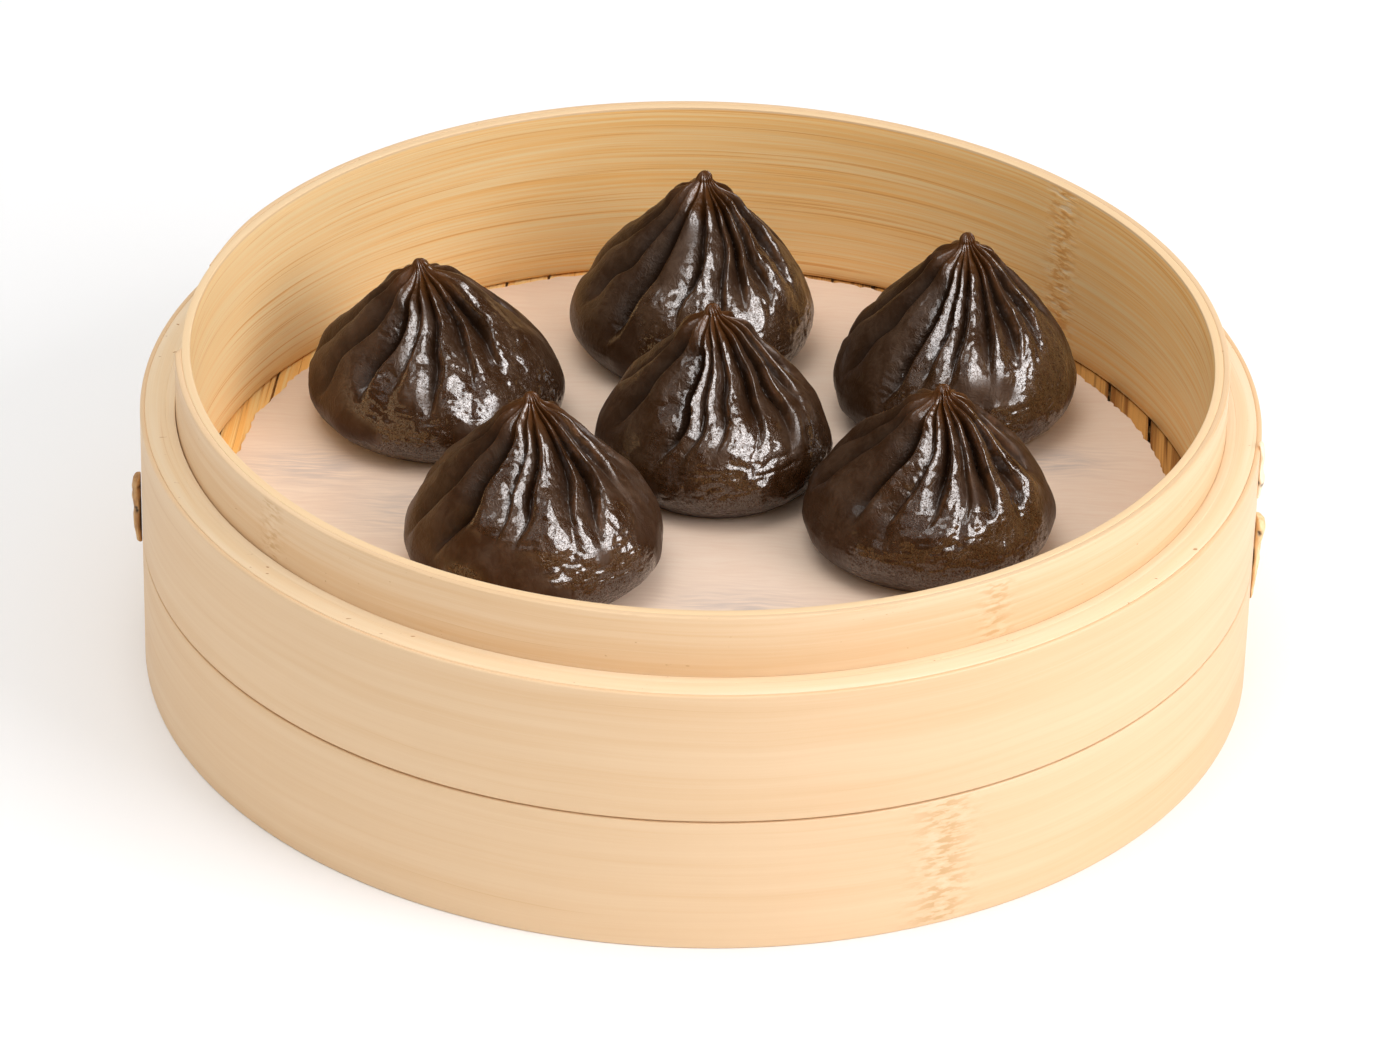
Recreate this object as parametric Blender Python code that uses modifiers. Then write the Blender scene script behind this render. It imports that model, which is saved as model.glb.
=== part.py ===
"""A bamboo steamer basket that holds six folded soup dumplings on a paper liner.

The basket's axis is Z and it stands on z = 0. -Y is its front. Lengths are in metres.
"""

import math
import random
from dataclasses import dataclass

import bmesh
import bpy
from mathutils import Matrix, Vector

MM = 0.001
GAP = 0.3 * MM

# Wall: bent bamboo strips, one inside the other. The rim hoop stands on the floor's edge
# and the skirt hoop is under it.
BASKET_RADIUS = 110.0 * MM
BASKET_HEIGHT = 68.0 * MM
LEDGE_HEIGHT = 55.4 * MM
SEAM_HEIGHT = 28.0 * MM
SKIRT_DEPTH = 14.0 * MM
CHAMBER_RADIUS = 100.0 * MM
BAND_THICKNESS = 1.1 * MM
CORE_THICKNESS = 3.7 * MM
LINER_STRIP_THICKNESS = 1.4 * MM
HOOP_THICKNESS = 1.35 * MM
WRAP_START_DEG = 184.5
WRAP_SWEEP_DEG = 340.5
TURN_STEPS = 64

# Floor: slats laid edge to edge on two cross rails.
FLOOR_HEIGHT = 29.8 * MM
SLAT_COUNT = 23
SLAT_PITCH = 8.5 * MM
SLAT_GAP = 0.7 * MM
SLAT_THICKNESS = 2.2 * MM
SLAT_SHIFT = -0.75 * MM
SLAT_TURN_DEG = -3.8
PARTED_SLAT = 22
PARTED_BACK_Y = 37.4 * MM
PARTED_FRONT_Y = 29.9 * MM
RAIL_WIDTH = 12.0 * MM
RAIL_THICKNESS = 5.0 * MM
RAIL_OFFSET = 34.5 * MM

# Paper liner: a disc pushed against the back of the wall.
PAPER_RADIUS = 94.4 * MM
PAPER_THICKNESS = 0.25 * MM
PAPER_BACK_SHIFT = 4.8 * MM

# Ties: strips of cane that bow out of the wall across the seam, and one over the ledge.
TIE_WIDTH = 3.6 * MM
TIE_THICKNESS = 1.1 * MM
TIE_STAND_OFF = 2.3 * MM
TIE_ARC_STEPS = 10
HOOK_REACH = 3.4 * MM
HOOK_DROP = 11.0 * MM
HOOK_THICKNESS = 0.9 * MM

# Dumplings: heights are shares of the whole height, radii shares of the belly radius.
BASE_SHARE = 0.76
BELLY_HEIGHT = 0.20
DOME_POWER = 1.48
NECK_HEIGHT = 0.93
NECK_SPREAD = 0.05
NECK_PINCH = 0.29
TIP_RADIUS = 1.6 * MM
RING_HEIGHTS = (0.0, 0.06, 0.20, 0.36, 0.50, 0.62, 0.72, 0.81, 0.875, 0.93, 0.97)

# Folds: valleys in the skin that run up to the tip and swirl. Each has a sharp edge on its
# right and a long slope on its left. Points stand at these shares of the way between two.
FOLD_COLUMNS = (0.0, 0.2, 0.62)
FOLD_DEEPEST = 3.0 * MM
FOLD_STEEPNESS = 0.50
FOLD_EDGE = 1.0 * MM
FOLD_SLOPE = 2.6 * MM
FOLD_RISE = 0.28
FOLD_LOW_END = 0.34
FOLD_LOW_END_DROP = 0.10
FOLD_LOW_END_SPREAD = 0.06
FOLD_EDGE_POWER = 1.5
FOLD_SLOPE_POWER = 1.4
FOLD_LONG_SIDE_DEG = 190.0
PUFF = 0.06
PUFF_START = 0.24
PUFF_WIDEST = 8.0 * MM
RAISE = 0.04
SHOULDER = 1.0 * MM
SHOULDER_HEIGHT = 0.87
SHOULDER_SPREAD = 0.05
BULGE_SPREAD = 0.12
TIP_TWIST_SPREAD = 0.05
LEAN_POWER = 1.3
SWIRL_DEG = 35.0
SWIRL_START = 0.75
TIP_TWIST_DEG = 40.0


@dataclass(frozen=True)
class Dumpling:
    """One dumpling, in millimetres and degrees.

    folds holds the azimuth and the depth of each fold in front, and folds_behind is how many
    more there are. bulge is a swelling: its azimuth, height, lift and spread.
    """

    name: str
    centre: tuple
    radius: float
    height: float
    lean: tuple
    folds: tuple
    folds_behind: int
    seed: int
    bulge: tuple = (0.0, 0.8, 0.0, 40.0)


DUMPLINGS = (
    Dumpling(
        "left", (-53.3, 34.2), 25.8, 35.4, (-3.8, 0.3),
        ((218, 0.9), (246, 1.2), (262, 0.5), (281, 0.8), (305, 0.8), (328, 1.2), (390, 0.7)), 6, 11,
        (12.0, 0.80, 1.5, 40.0),
    ),
    Dumpling(
        "back", (-2.7, 64.4), 24.9, 38.8, (2.3, 4.4),
        ((185, 0.8), (215, 0.9), (240, 1.2), (272, 0.9), (295, 0.7), (309, 1.1), (326, 0.8)), 7, 12,
    ),
    Dumpling(
        "right", (50.8, 41.0), 24.5, 38.8, (1.9, 4.1),
        ((183, 0.8), (212, 0.9), (246, 1.1), (260, 0.7), (273, 0.8), (297, 1.0), (314, 1.1)), 8, 13,
    ),
    Dumpling(
        "centre", (3.1, 13.8), 23.6, 37.6, (-1.4, 1.2),
        ((212, 1.1), (253, 1.2), (265, 0.6), (280, 0.8), (304, 1.0), (328, 1.0), (350, 0.8)), 7, 14,
    ),
    Dumpling(
        "front_left", (-31.9, -24.6), 25.3, 38.4, (-0.9, 1.3),
        ((210, 0.9), (236, 1.2), (262, 0.5), (276, 0.9), (305, 0.9), (322, 1.1), (345, 0.8)), 7, 15,
    ),
    Dumpling(
        "front_right", (44.9, -11.6), 24.6, 36.0, (2.0, -0.3),
        ((197, 0.9), (235, 1.2), (258, 0.5), (275, 1.1), (292, 0.5), (309, 1.2), (334, 0.8)), 7, 16,
    ),
)

MATERIALS = {
    "bamboo_outer": ((0.83, 0.60, 0.35), 0.55),
    "bamboo_inner": ((0.76, 0.45, 0.18), 0.50),
    "bamboo_slat": ((0.66, 0.36, 0.12), 0.60),
    "paper": ((0.79, 0.59, 0.45), 0.85),
    "cane": ((0.56, 0.32, 0.13), 0.60),
    "dough": ((0.035, 0.021, 0.014), 0.25),
}


def clear_scene():
    """Remove every object that the file opened with."""
    for obj in list(bpy.data.objects):
        bpy.data.objects.remove(obj, do_unlink=True)


def make_collection(name):
    """Add a collection to the scene."""
    collection = bpy.data.collections.new(name)
    bpy.context.scene.collection.children.link(collection)
    return collection


def make_material(name):
    """Make the Principled material of that name from MATERIALS."""
    colour, roughness = MATERIALS[name]
    material = bpy.data.materials.new(name)
    material.use_nodes = True
    shader = material.node_tree.nodes["Principled BSDF"]
    shader.inputs["Base Color"].default_value = (*colour, 1.0)
    shader.inputs["Roughness"].default_value = roughness
    shader.inputs["Metallic"].default_value = 0.0
    return material


class Workshop:
    """Places finished pieces in one collection, each with its material."""

    def __init__(self, collection):
        self.collection = collection
        self.materials = {name: make_material(name) for name in MATERIALS}

    def place(self, name, data, material):
        """Link a mesh or curve as a named object."""
        data.materials.append(self.materials[material])
        obj = bpy.data.objects.new(name, data)
        self.collection.objects.link(obj)
        return obj

    def place_bmesh(self, name, form, material, smooth_angle=None):
        """Turn a bmesh into a named object, shaded smooth up to an angle in degrees."""
        mesh = bpy.data.meshes.new(name)
        form.to_mesh(mesh)
        form.free()
        if smooth_angle is not None:
            mesh.shade_smooth()
            mesh.set_sharp_from_angle(angle=math.radians(smooth_angle))
        return self.place(name, mesh, material)


def smoothstep(value):
    """Ease from 0 to 1 while value goes from 0 to 1."""
    value = min(1.0, max(0.0, value))
    return value * value * (3 - 2 * value)


def add_hoop(shop, name, outer, thickness, low, high, material, start=0.0, sweep=360.0):
    """Bend an upright strip of bamboo round the axis, closed or open, and give it a thickness."""
    strip = bmesh.new()
    top = strip.verts.new((outer, 0, high))
    bottom = strip.verts.new((outer, 0, low))
    strip.edges.new((top, bottom))
    obj = shop.place_bmesh(name, strip, material)
    obj.rotation_euler.z = math.radians(start)

    bend = obj.modifiers.new("Bend", "SCREW")
    bend.axis = "Z"
    bend.angle = math.radians(sweep)
    bend.steps = round(TURN_STEPS * sweep / 360)
    bend.render_steps = bend.steps
    bend.use_merge_vertices = sweep == 360.0
    bend.merge_threshold = 0.00001
    bend.use_smooth_shade = True

    wall = obj.modifiers.new("Thickness", "SOLIDIFY")
    wall.thickness = thickness
    wall.offset = -1.0
    return obj


def add_walls(shop):
    """Build the strips of the wall from the chamber outwards."""
    hoop_outer = CHAMBER_RADIUS + HOOP_THICKNESS
    wrap_outer = hoop_outer + GAP + HOOP_THICKNESS
    band_inner = BASKET_RADIUS - BAND_THICKNESS
    core_outer = band_inner - GAP
    strip_outer = core_outer - CORE_THICKNESS - GAP
    floor_low = FLOOR_HEIGHT - SLAT_THICKNESS
    add_hoop(
        shop, "rim_hoop", hoop_outer, HOOP_THICKNESS, FLOOR_HEIGHT + GAP, BASKET_HEIGHT, "bamboo_inner"
    )
    add_hoop(
        shop, "skirt_hoop", hoop_outer, HOOP_THICKNESS, SKIRT_DEPTH, floor_low - GAP, "bamboo_inner"
    )
    add_hoop(
        shop, "rim_wrap", wrap_outer, HOOP_THICKNESS, SKIRT_DEPTH, BASKET_HEIGHT,
        "bamboo_outer", WRAP_START_DEG, WRAP_SWEEP_DEG,
    )
    add_hoop(
        shop, "ledge_strip", strip_outer, LINER_STRIP_THICKNESS, SKIRT_DEPTH, LEDGE_HEIGHT,
        "bamboo_outer",
    )
    add_hoop(shop, "wall_core", core_outer, CORE_THICKNESS, 0.0, LEDGE_HEIGHT, "bamboo_outer")
    add_hoop(
        shop, "upper_band", BASKET_RADIUS, BAND_THICKNESS, SEAM_HEIGHT + GAP / 2, LEDGE_HEIGHT,
        "bamboo_outer",
    )
    add_hoop(
        shop, "lower_band", BASKET_RADIUS, BAND_THICKNESS, 0.0, SEAM_HEIGHT - GAP / 2, "bamboo_outer"
    )


def chord_bar(reach, centre, width, low, high, back_from=None, front_from=None):
    """Make a bar along Y whose corners lie on a circle of radius reach.

    back_from cuts it off in front of that y, and front_from behind that y.
    """
    bar = bmesh.new()
    bmesh.ops.create_cube(bar, size=2.0)
    for vert in bar.verts:
        x = centre + vert.co.x * width / 2
        y = math.copysign(math.sqrt(reach**2 - x**2), vert.co.y)
        if back_from is not None:
            y = max(y, back_from)
        if front_from is not None:
            y = min(y, front_from)
        vert.co = Vector((x, y, high if vert.co.z > 0 else low))
    return bar


def add_slat(shop, name, number, **cuts):
    """Lay one slat, its ends on the skirt hoop."""
    reach = CHAMBER_RADIUS + HOOP_THICKNESS
    centre = SLAT_SHIFT + (number - (SLAT_COUNT + 1) / 2) * SLAT_PITCH
    width = SLAT_PITCH - SLAT_GAP
    slat = chord_bar(reach, centre, width, FLOOR_HEIGHT - SLAT_THICKNESS, FLOOR_HEIGHT, **cuts)
    turn = Matrix.Rotation(math.radians(SLAT_TURN_DEG), 3, "Z")
    bmesh.ops.rotate(slat, verts=slat.verts, matrix=turn)
    shop.place_bmesh(name, slat, "bamboo_slat")


def add_floor(shop):
    """Lay the slats, one of them in two lengths, and the two rails under them."""
    for number in range(1, SLAT_COUNT + 1):
        name = f"slat_{number:02d}"
        if number == PARTED_SLAT:
            add_slat(shop, f"{name}_back", number, back_from=PARTED_BACK_Y)
            add_slat(shop, f"{name}_front", number, front_from=PARTED_FRONT_Y)
        else:
            add_slat(shop, name, number)

    reach = CHAMBER_RADIUS - GAP
    quarter_turn = Matrix.Rotation(math.radians(90 + SLAT_TURN_DEG), 3, "Z")
    rail_high = FLOOR_HEIGHT - SLAT_THICKNESS - GAP
    for name, offset in (("floor_rail_back", RAIL_OFFSET), ("floor_rail_front", -RAIL_OFFSET)):
        rail = chord_bar(reach, -offset, RAIL_WIDTH, rail_high - RAIL_THICKNESS, rail_high)
        bmesh.ops.rotate(rail, verts=rail.verts, matrix=quarter_turn)
        shop.place_bmesh(name, rail, "bamboo_slat")


def add_paper(shop):
    """Lay the round paper liner on the slats and return the height of its upper face."""
    low = FLOOR_HEIGHT + GAP
    disc = bmesh.new()
    bmesh.ops.create_cone(
        disc, cap_ends=True, segments=TURN_STEPS, radius1=PAPER_RADIUS, radius2=PAPER_RADIUS,
        depth=PAPER_THICKNESS,
        matrix=Matrix.Translation((0, PAPER_BACK_SHIFT, low + PAPER_THICKNESS / 2)),
    )
    shop.place_bmesh("paper_liner", disc, "paper", smooth_angle=40)
    return low + PAPER_THICKNESS


def add_strap(shop, name, outline, azimuth):
    """Cut a cane strap from a flat outline of (radius, height) points and stand it at an azimuth."""
    curve = bpy.data.curves.new(name, "CURVE")
    curve.dimensions = "2D"
    curve.fill_mode = "BOTH"
    curve.extrude = TIE_WIDTH / 2
    spline = curve.splines.new("POLY")
    spline.points.add(len(outline) - 1)
    for point, (radius, height) in zip(spline.points, outline):
        point.co = (radius, height, 0, 1)
    spline.use_cyclic_u = True
    strap = shop.place(name, curve, "cane")
    strap.rotation_euler = (math.radians(90), 0, math.radians(azimuth))


def bowed_outline(low, high):
    """Outline of a strap that leaves the wall at one height and goes back into it at another."""
    foot = BASKET_RADIUS + GAP
    bow = TIE_STAND_OFF - GAP - TIE_THICKNESS
    outer, inner = [], []
    for step in range(TIE_ARC_STEPS + 1):
        along = step / TIE_ARC_STEPS
        height = low + (high - low) * along
        lift = foot + bow * math.sin(math.pi * along)
        end_taper = 0.45 + 0.55 * math.sin(math.pi * along) ** 0.6
        inner.append((lift, height))
        outer.append((lift + TIE_THICKNESS * end_taper, height))
    return inner + outer[::-1]


def hook_outline():
    """Outline of the strap that lies on the ledge, turns over its edge and hangs down outside."""
    foot = BASKET_RADIUS + GAP
    top = LEDGE_HEIGHT + GAP
    thick = HOOK_THICKNESS
    inner = [(foot - HOOK_REACH, top), (foot, top), (foot, top - HOOK_DROP)]
    outer = [
        (foot + 0.4 * thick, top - HOOK_DROP),
        (foot + 1.5 * thick, top - 0.7 * HOOK_DROP),
        (foot + 1.5 * thick, top - 0.25 * HOOK_DROP),
        (foot + thick, top + 0.5 * thick),
        (foot, top + thick),
        (foot - HOOK_REACH, top + 0.6 * thick),
    ]
    return inner + outer


def add_ties(shop):
    """Add the cane straps that lash the bands together at both sides."""
    add_strap(shop, "tie_left", bowed_outline(24.0 * MM, 39.5 * MM), 184.0)
    add_strap(shop, "tie_right", bowed_outline(17.5 * MM, 37.0 * MM), -4.0)
    add_strap(shop, "tie_ledge", hook_outline(), -7.0)


def wall_section(share, radius, height):
    """Radius of the unfolded skin at a share of the height."""
    if share < BELLY_HEIGHT:
        drop = (BELLY_HEIGHT - share) / BELLY_HEIGHT
        return radius * (1 - (1 - BASE_SHARE) * drop * drop)
    climb = (share - BELLY_HEIGHT) / (1 - BELLY_HEIGHT)
    neck = 1 - NECK_PINCH * math.exp(-(((share - NECK_HEIGHT) / NECK_SPREAD) ** 2))
    dome = radius * (1 - climb**DOME_POWER) * neck
    above_tip = share * height - (height - TIP_RADIUS)
    if above_tip <= -TIP_RADIUS:
        return dome
    return max(dome, math.sqrt(max(0.0, TIP_RADIUS**2 - above_tip**2)))


def wall_normal(share, radius, height):
    """Outward direction of the unfolded skin, as (along the radius, upwards)."""
    step = 0.01
    low, high = max(0.0, share - step), min(1.0, share + step)
    run = wall_section(high, radius, height) - wall_section(low, radius, height)
    rise = (high - low) * height
    length = math.hypot(run, rise)
    return rise / length, -run / length


def swirl(share):
    """Angle by which the folds have turned at a share of the height, in radians."""
    twist = math.radians(TIP_TWIST_DEG) * math.exp(-(1 - share) / TIP_TWIST_SPREAD)
    return math.radians(SWIRL_DEG) * (share - SWIRL_START) - twist


def draw_folds(seen, behind, seed):
    """List the folds round a dumpling, with the first one again at the end.

    seen holds the azimuth and depth of those in front. Each fold is listed as its azimuth in
    radians, its depth and the share of the height where it ends.
    """
    rng = random.Random(seed)
    folds = list(seen)
    last = seen[-1][0]
    spacing = (seen[0][0] + 360 - last) / (behind + 1)
    for number in range(1, behind + 1):
        azimuth = last + spacing * (number + rng.uniform(-0.2, 0.2))
        folds.append((azimuth, rng.uniform(0.6, 1.1)))
    listed = []
    for azimuth, depth in folds:
        long_side = math.cos(math.radians(azimuth - FOLD_LONG_SIDE_DEG))
        end = FOLD_LOW_END - FOLD_LOW_END_DROP * long_side
        end += rng.uniform(-FOLD_LOW_END_SPREAD, FOLD_LOW_END_SPREAD)
        listed.append((math.radians(azimuth), depth, end))
    angle, depth, end = listed[0]
    return [*listed, (angle + math.tau, depth, end)]


def skin_lift(left, right, phase, share, skin, spacing):
    """Height of the folded skin over the smooth one, between two neighbouring folds.

    left and right are the folds and phase is the share of the way from one to the other.
    """
    arc = (right[0] - left[0]) * skin
    edge = min(FOLD_EDGE, 0.25 * arc)
    slope = min(FOLD_SLOPE, 0.45 * arc)
    from_left = left[1] * smoothstep((share - left[2]) / FOLD_RISE)
    from_right = right[1] * smoothstep((share - right[2]) / FOLD_RISE)
    from_left *= math.exp(-((phase * arc / edge) ** FOLD_EDGE_POWER))
    from_right *= math.exp(-(((1 - phase) * arc / slope) ** FOLD_SLOPE_POWER))
    valley = max(from_left, from_right)
    fade = smoothstep((share - PUFF_START) / FOLD_RISE)
    swell = math.sin(math.pi * phase)
    shoulder = SHOULDER * math.exp(-(((share - SHOULDER_HEIGHT) / SHOULDER_SPREAD) ** 2))
    deepest = min(FOLD_STEEPNESS * spacing * skin, FOLD_DEEPEST)
    puff = PUFF * min(arc, PUFF_WIDEST) * fade
    return (puff + shoulder) * swell + deepest * (RAISE * fade - valley)


def bulge_lift(bulge, angle, share):
    """Height of a dumpling's swelling in a direction, at a share of its height."""
    azimuth, height, lift, spread = bulge
    aside = (math.degrees(angle) - azimuth + 180) % 360 - 180
    level = (share - height) / BULGE_SPREAD
    return lift * MM * math.exp(-((aside / spread) ** 2) - level**2)


def add_dumpling(shop, item, base):
    """Shape a sphere into a folded dumpling that stands at the height base."""
    radius, height = item.radius * MM, item.height * MM
    folds = draw_folds(item.folds, item.folds_behind, item.seed)
    count = len(folds) - 1
    columns = count * len(FOLD_COLUMNS)
    rings = len(RING_HEIGHTS) + 1
    form = bmesh.new()
    bmesh.ops.create_uvsphere(form, u_segments=columns, v_segments=rings, radius=1.0)
    for vert in form.verts:
        ring = round(rings * (1 - math.acos(max(-1.0, min(1.0, vert.co.z))) / math.pi))
        if ring in (0, rings):
            share = ring / rings
            at_axis = (item.centre[0] + item.lean[0] * share, item.centre[1] + item.lean[1] * share)
            vert.co = Vector((at_axis[0] * MM, at_axis[1] * MM, base + share * height))
            continue
        share = RING_HEIGHTS[ring - 1]
        skin = wall_section(share, radius, height)
        column = round(math.atan2(vert.co.y, vert.co.x) / math.tau * columns) % columns
        fold, step = divmod(column, len(FOLD_COLUMNS))
        left, right = folds[fold], folds[fold + 1]
        phase = FOLD_COLUMNS[step]
        angle = left[0] + (right[0] - left[0]) * phase + swirl(share)
        lift = skin_lift(left, right, phase, share, skin, math.tau / count)
        lift += bulge_lift(item.bulge, angle, share)
        out, up = wall_normal(share, radius, height)
        reach = skin + out * lift
        sway = share**LEAN_POWER
        vert.co = Vector((
            (item.centre[0] + item.lean[0] * sway) * MM + reach * math.cos(angle),
            (item.centre[1] + item.lean[1] * sway) * MM + reach * math.sin(angle),
            base + max(0.0, share * height + up * lift),
        ))
    shop.place_bmesh(f"dumpling_{item.name}", form, "dough", smooth_angle=60)


def main():
    """Build the basket, its liner and the dumplings."""
    clear_scene()
    shop = Workshop(make_collection("steamer_of_soup_dumplings"))
    add_walls(shop)
    add_floor(shop)
    add_ties(shop)
    paper_top = add_paper(shop)
    for item in DUMPLINGS:
        add_dumpling(shop, item, paper_top + GAP)


main()
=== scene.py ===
"""Six pleated soup dumplings in a bamboo steamer basket: the finished surface of every piece.

Lengths are in metres. The basket's axis is Z, it stands on z = 0 and -Y is its front.
"""

import itertools
import logging
import math
import random
from dataclasses import dataclass, field, replace
from enum import Enum
from typing import Any, Callable, Mapping, Sequence

import bmesh
import bpy
import numpy as np
from mathutils import Matrix, Vector


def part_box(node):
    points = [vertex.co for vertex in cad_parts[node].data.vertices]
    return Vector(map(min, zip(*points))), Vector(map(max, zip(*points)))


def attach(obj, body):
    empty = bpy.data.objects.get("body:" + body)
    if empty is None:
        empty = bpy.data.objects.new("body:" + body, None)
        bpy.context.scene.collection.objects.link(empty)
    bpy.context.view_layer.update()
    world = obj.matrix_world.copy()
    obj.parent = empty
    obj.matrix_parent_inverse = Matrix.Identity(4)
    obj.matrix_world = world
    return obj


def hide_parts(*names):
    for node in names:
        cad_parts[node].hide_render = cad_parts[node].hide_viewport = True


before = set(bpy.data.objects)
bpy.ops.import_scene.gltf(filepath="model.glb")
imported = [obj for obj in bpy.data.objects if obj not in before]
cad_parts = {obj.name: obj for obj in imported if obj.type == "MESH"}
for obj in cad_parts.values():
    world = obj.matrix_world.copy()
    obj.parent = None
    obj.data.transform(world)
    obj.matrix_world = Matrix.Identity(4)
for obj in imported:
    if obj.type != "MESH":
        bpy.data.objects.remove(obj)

MM = 0.001
GAP = 0.3 * MM
SLAT_TURN_DEG = -3.8
BODY = "root"
log = logging.getLogger("steamer")

Colour = tuple[float, float, float]
Form = bmesh.types.BMesh
Rows = np.ndarray
Socket = bpy.types.NodeSocket


# Shader tools


def operator(operation: str, swapped: bool = False) -> Callable[..., "Num"]:
    """Return a Python operator that adds a Math node.

    Args:
        operation: The Math node's operation.
        swapped: Whether the number comes second.

    Returns:
        The operator.
    """

    def apply(number: "Num", other: "Num | float" = 0.0) -> "Num":
        """Return the operation's result."""
        terms = (other, number) if swapped else (number, other)
        return number.graph.math(operation, *terms)

    return apply


class Num:
    """A number socket of a shader that takes part in Python arithmetic."""

    __add__ = __radd__ = operator("ADD")
    __sub__ = operator("SUBTRACT")
    __rsub__ = operator("SUBTRACT", swapped=True)
    __mul__ = __rmul__ = operator("MULTIPLY")
    __truediv__ = operator("DIVIDE")
    __abs__ = operator("ABSOLUTE")

    def __init__(self, graph: "Graph", socket: Socket) -> None:
        """Wrap an output socket of a node tree."""
        self.graph = graph
        self.socket = socket

    def step(self, start: float, end: float) -> "Num":
        """Ease from 0 at start to 1 at end, and stay there.

        Args:
            start: The value that gives 0.
            end: The value that gives 1, which may be the smaller one.

        Returns:
            The eased share.
        """
        node = self.graph.node(
            "ShaderNodeMapRange",
            {"interpolation_type": "SMOOTHSTEP"},
            {"Value": self, "From Min": start, "From Max": end},
        )
        return Num(self.graph, node.outputs["Result"])


class Graph:
    """The node tree of a material or a world, and the node that everything feeds."""

    def __init__(self, owner: bpy.types.Material | bpy.types.World, surface: str = "Principled BSDF") -> None:
        """Take the node tree of a new material or world.

        Args:
            owner: The material or world.
            surface: The name of the node that everything feeds.
        """
        owner.use_nodes = True
        self.owner = owner
        self.tree = owner.node_tree
        self.surface = self.tree.nodes[surface]

    def node(
        self,
        kind: str,
        settings: Mapping[str, Any] | None = None,
        inputs: Mapping[str | int, Any] | None = None,
    ) -> bpy.types.Node:
        """Add a node, apply its settings, then set or link its sockets.

        Args:
            kind: The node's type.
            settings: Its settings.
            inputs: Values or links by socket name or number.

        Returns:
            The new node.
        """
        node = self.tree.nodes.new(kind)
        for key, value in (settings or {}).items():
            setattr(node, key, value)
        for key, value in (inputs or {}).items():
            self.feed(node.inputs[key], value)
        return node

    def feed(self, socket: Socket, value: Any) -> None:
        """Set a socket to a value, or link it.

        Args:
            socket: The input socket.
            value: A Num, an output socket, a number or a tuple.
        """
        if isinstance(value, Num):
            value = value.socket
        if isinstance(value, Socket):
            self.tree.links.new(value, socket)
        elif socket.type == "RGBA" and len(value) == 3:
            socket.default_value = (*value, 1.0)
        else:
            socket.default_value = value

    def math(self, operation: str, *terms: Num | float) -> Num:
        """Return the result of a Math node."""
        node = self.node("ShaderNodeMath", {"operation": operation}, dict(enumerate(terms)))
        return Num(self, node.outputs[0])

    def place(self) -> tuple[Num, Num, Num]:
        """Read where the shaded point is.

        Returns:
            Its X, Y and Z.
        """
        coordinates = self.node("ShaderNodeTexCoord")
        parts = self.node("ShaderNodeSeparateXYZ", inputs={0: coordinates.outputs["Object"]})
        return tuple(Num(self, socket) for socket in parts.outputs)

    def distance(self, x: Num, y: Num) -> Num:
        """Return the distance from the axis."""
        return self.math("SQRT", x * x + y * y)

    def attribute(self, name: str) -> Num:
        """Return a number that the mesh carries."""
        return Num(self, self.node("ShaderNodeAttribute", {"attribute_name": name}).outputs["Fac"])

    def noise(self, place: Sequence[Num | float], detail: float = 2.0, warp: float = 0.0) -> Num:
        """Return noise between 0 and 1.

        Args:
            place: The coordinates, with one cell to a unit.
            detail: How many finer layers are added.
            warp: How far the noise bends itself.

        Returns:
            The noise.
        """
        vector = self.node("ShaderNodeCombineXYZ", inputs=dict(enumerate(place)))
        node = self.node(
            "ShaderNodeTexNoise",
            {"noise_dimensions": "3D"},
            {"Vector": vector.outputs[0], "Scale": 1.0, "Detail": detail, "Distortion": warp},
        )
        return Num(self, node.outputs[0])

    def blend(self, share: Num, first: Colour | Socket, second: Colour | Socket) -> Socket:
        """Mix two colours.

        Args:
            share: The share of the second.
            first: The first colour.
            second: The second colour.

        Returns:
            The mixed colour.
        """
        settings = {"data_type": "RGBA", "blend_type": "MIX"}
        return self.node("ShaderNodeMix", settings, {0: share, 6: first, 7: second}).outputs[2]

    def finish(
        self,
        colour: Socket | Colour,
        roughness: Num | float,
        relief: Num | None = None,
        depth: float = 0.0,
        constants: Mapping[str, Any] | None = None,
        varied: Mapping[str, Num] | None = None,
    ) -> bpy.types.Material:
        """Connect the surface and return the material.

        Args:
            colour: The base colour.
            roughness: The roughness.
            relief: Height of the fine relief, from 0 to 1.
            depth: What a height of 1 means, in metres.
            constants: Values set on the surface's own sockets.
            varied: Numbers that differ over the surface, by the name of their socket.

        Returns:
            The finished material.
        """
        self.feed(self.surface.inputs["Base Color"], colour)
        self.feed(self.surface.inputs["Roughness"], roughness)
        for name, value in (constants or {}).items():
            self.surface.inputs[name].default_value = value
        for name, number in (varied or {}).items():
            self.feed(self.surface.inputs[name], number)
        if relief is not None:
            bump = self.node("ShaderNodeBump", inputs={"Height": relief, "Distance": depth, "Strength": 1.0})
            self.feed(self.surface.inputs["Normal"], bump.outputs["Normal"])
        return self.owner


# Finishes


class Grain(Enum):
    """Which way the fibres of a bamboo piece run."""

    ROUND = "round the basket's axis"
    STRAIGHT = "along the slats"


@dataclass(frozen=True)
class NodeMark:
    """A rough upright band where the bamboo stem had a joint."""

    azimuth_deg: float
    low: float
    high: float
    width: float = 2.2 * MM


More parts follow.
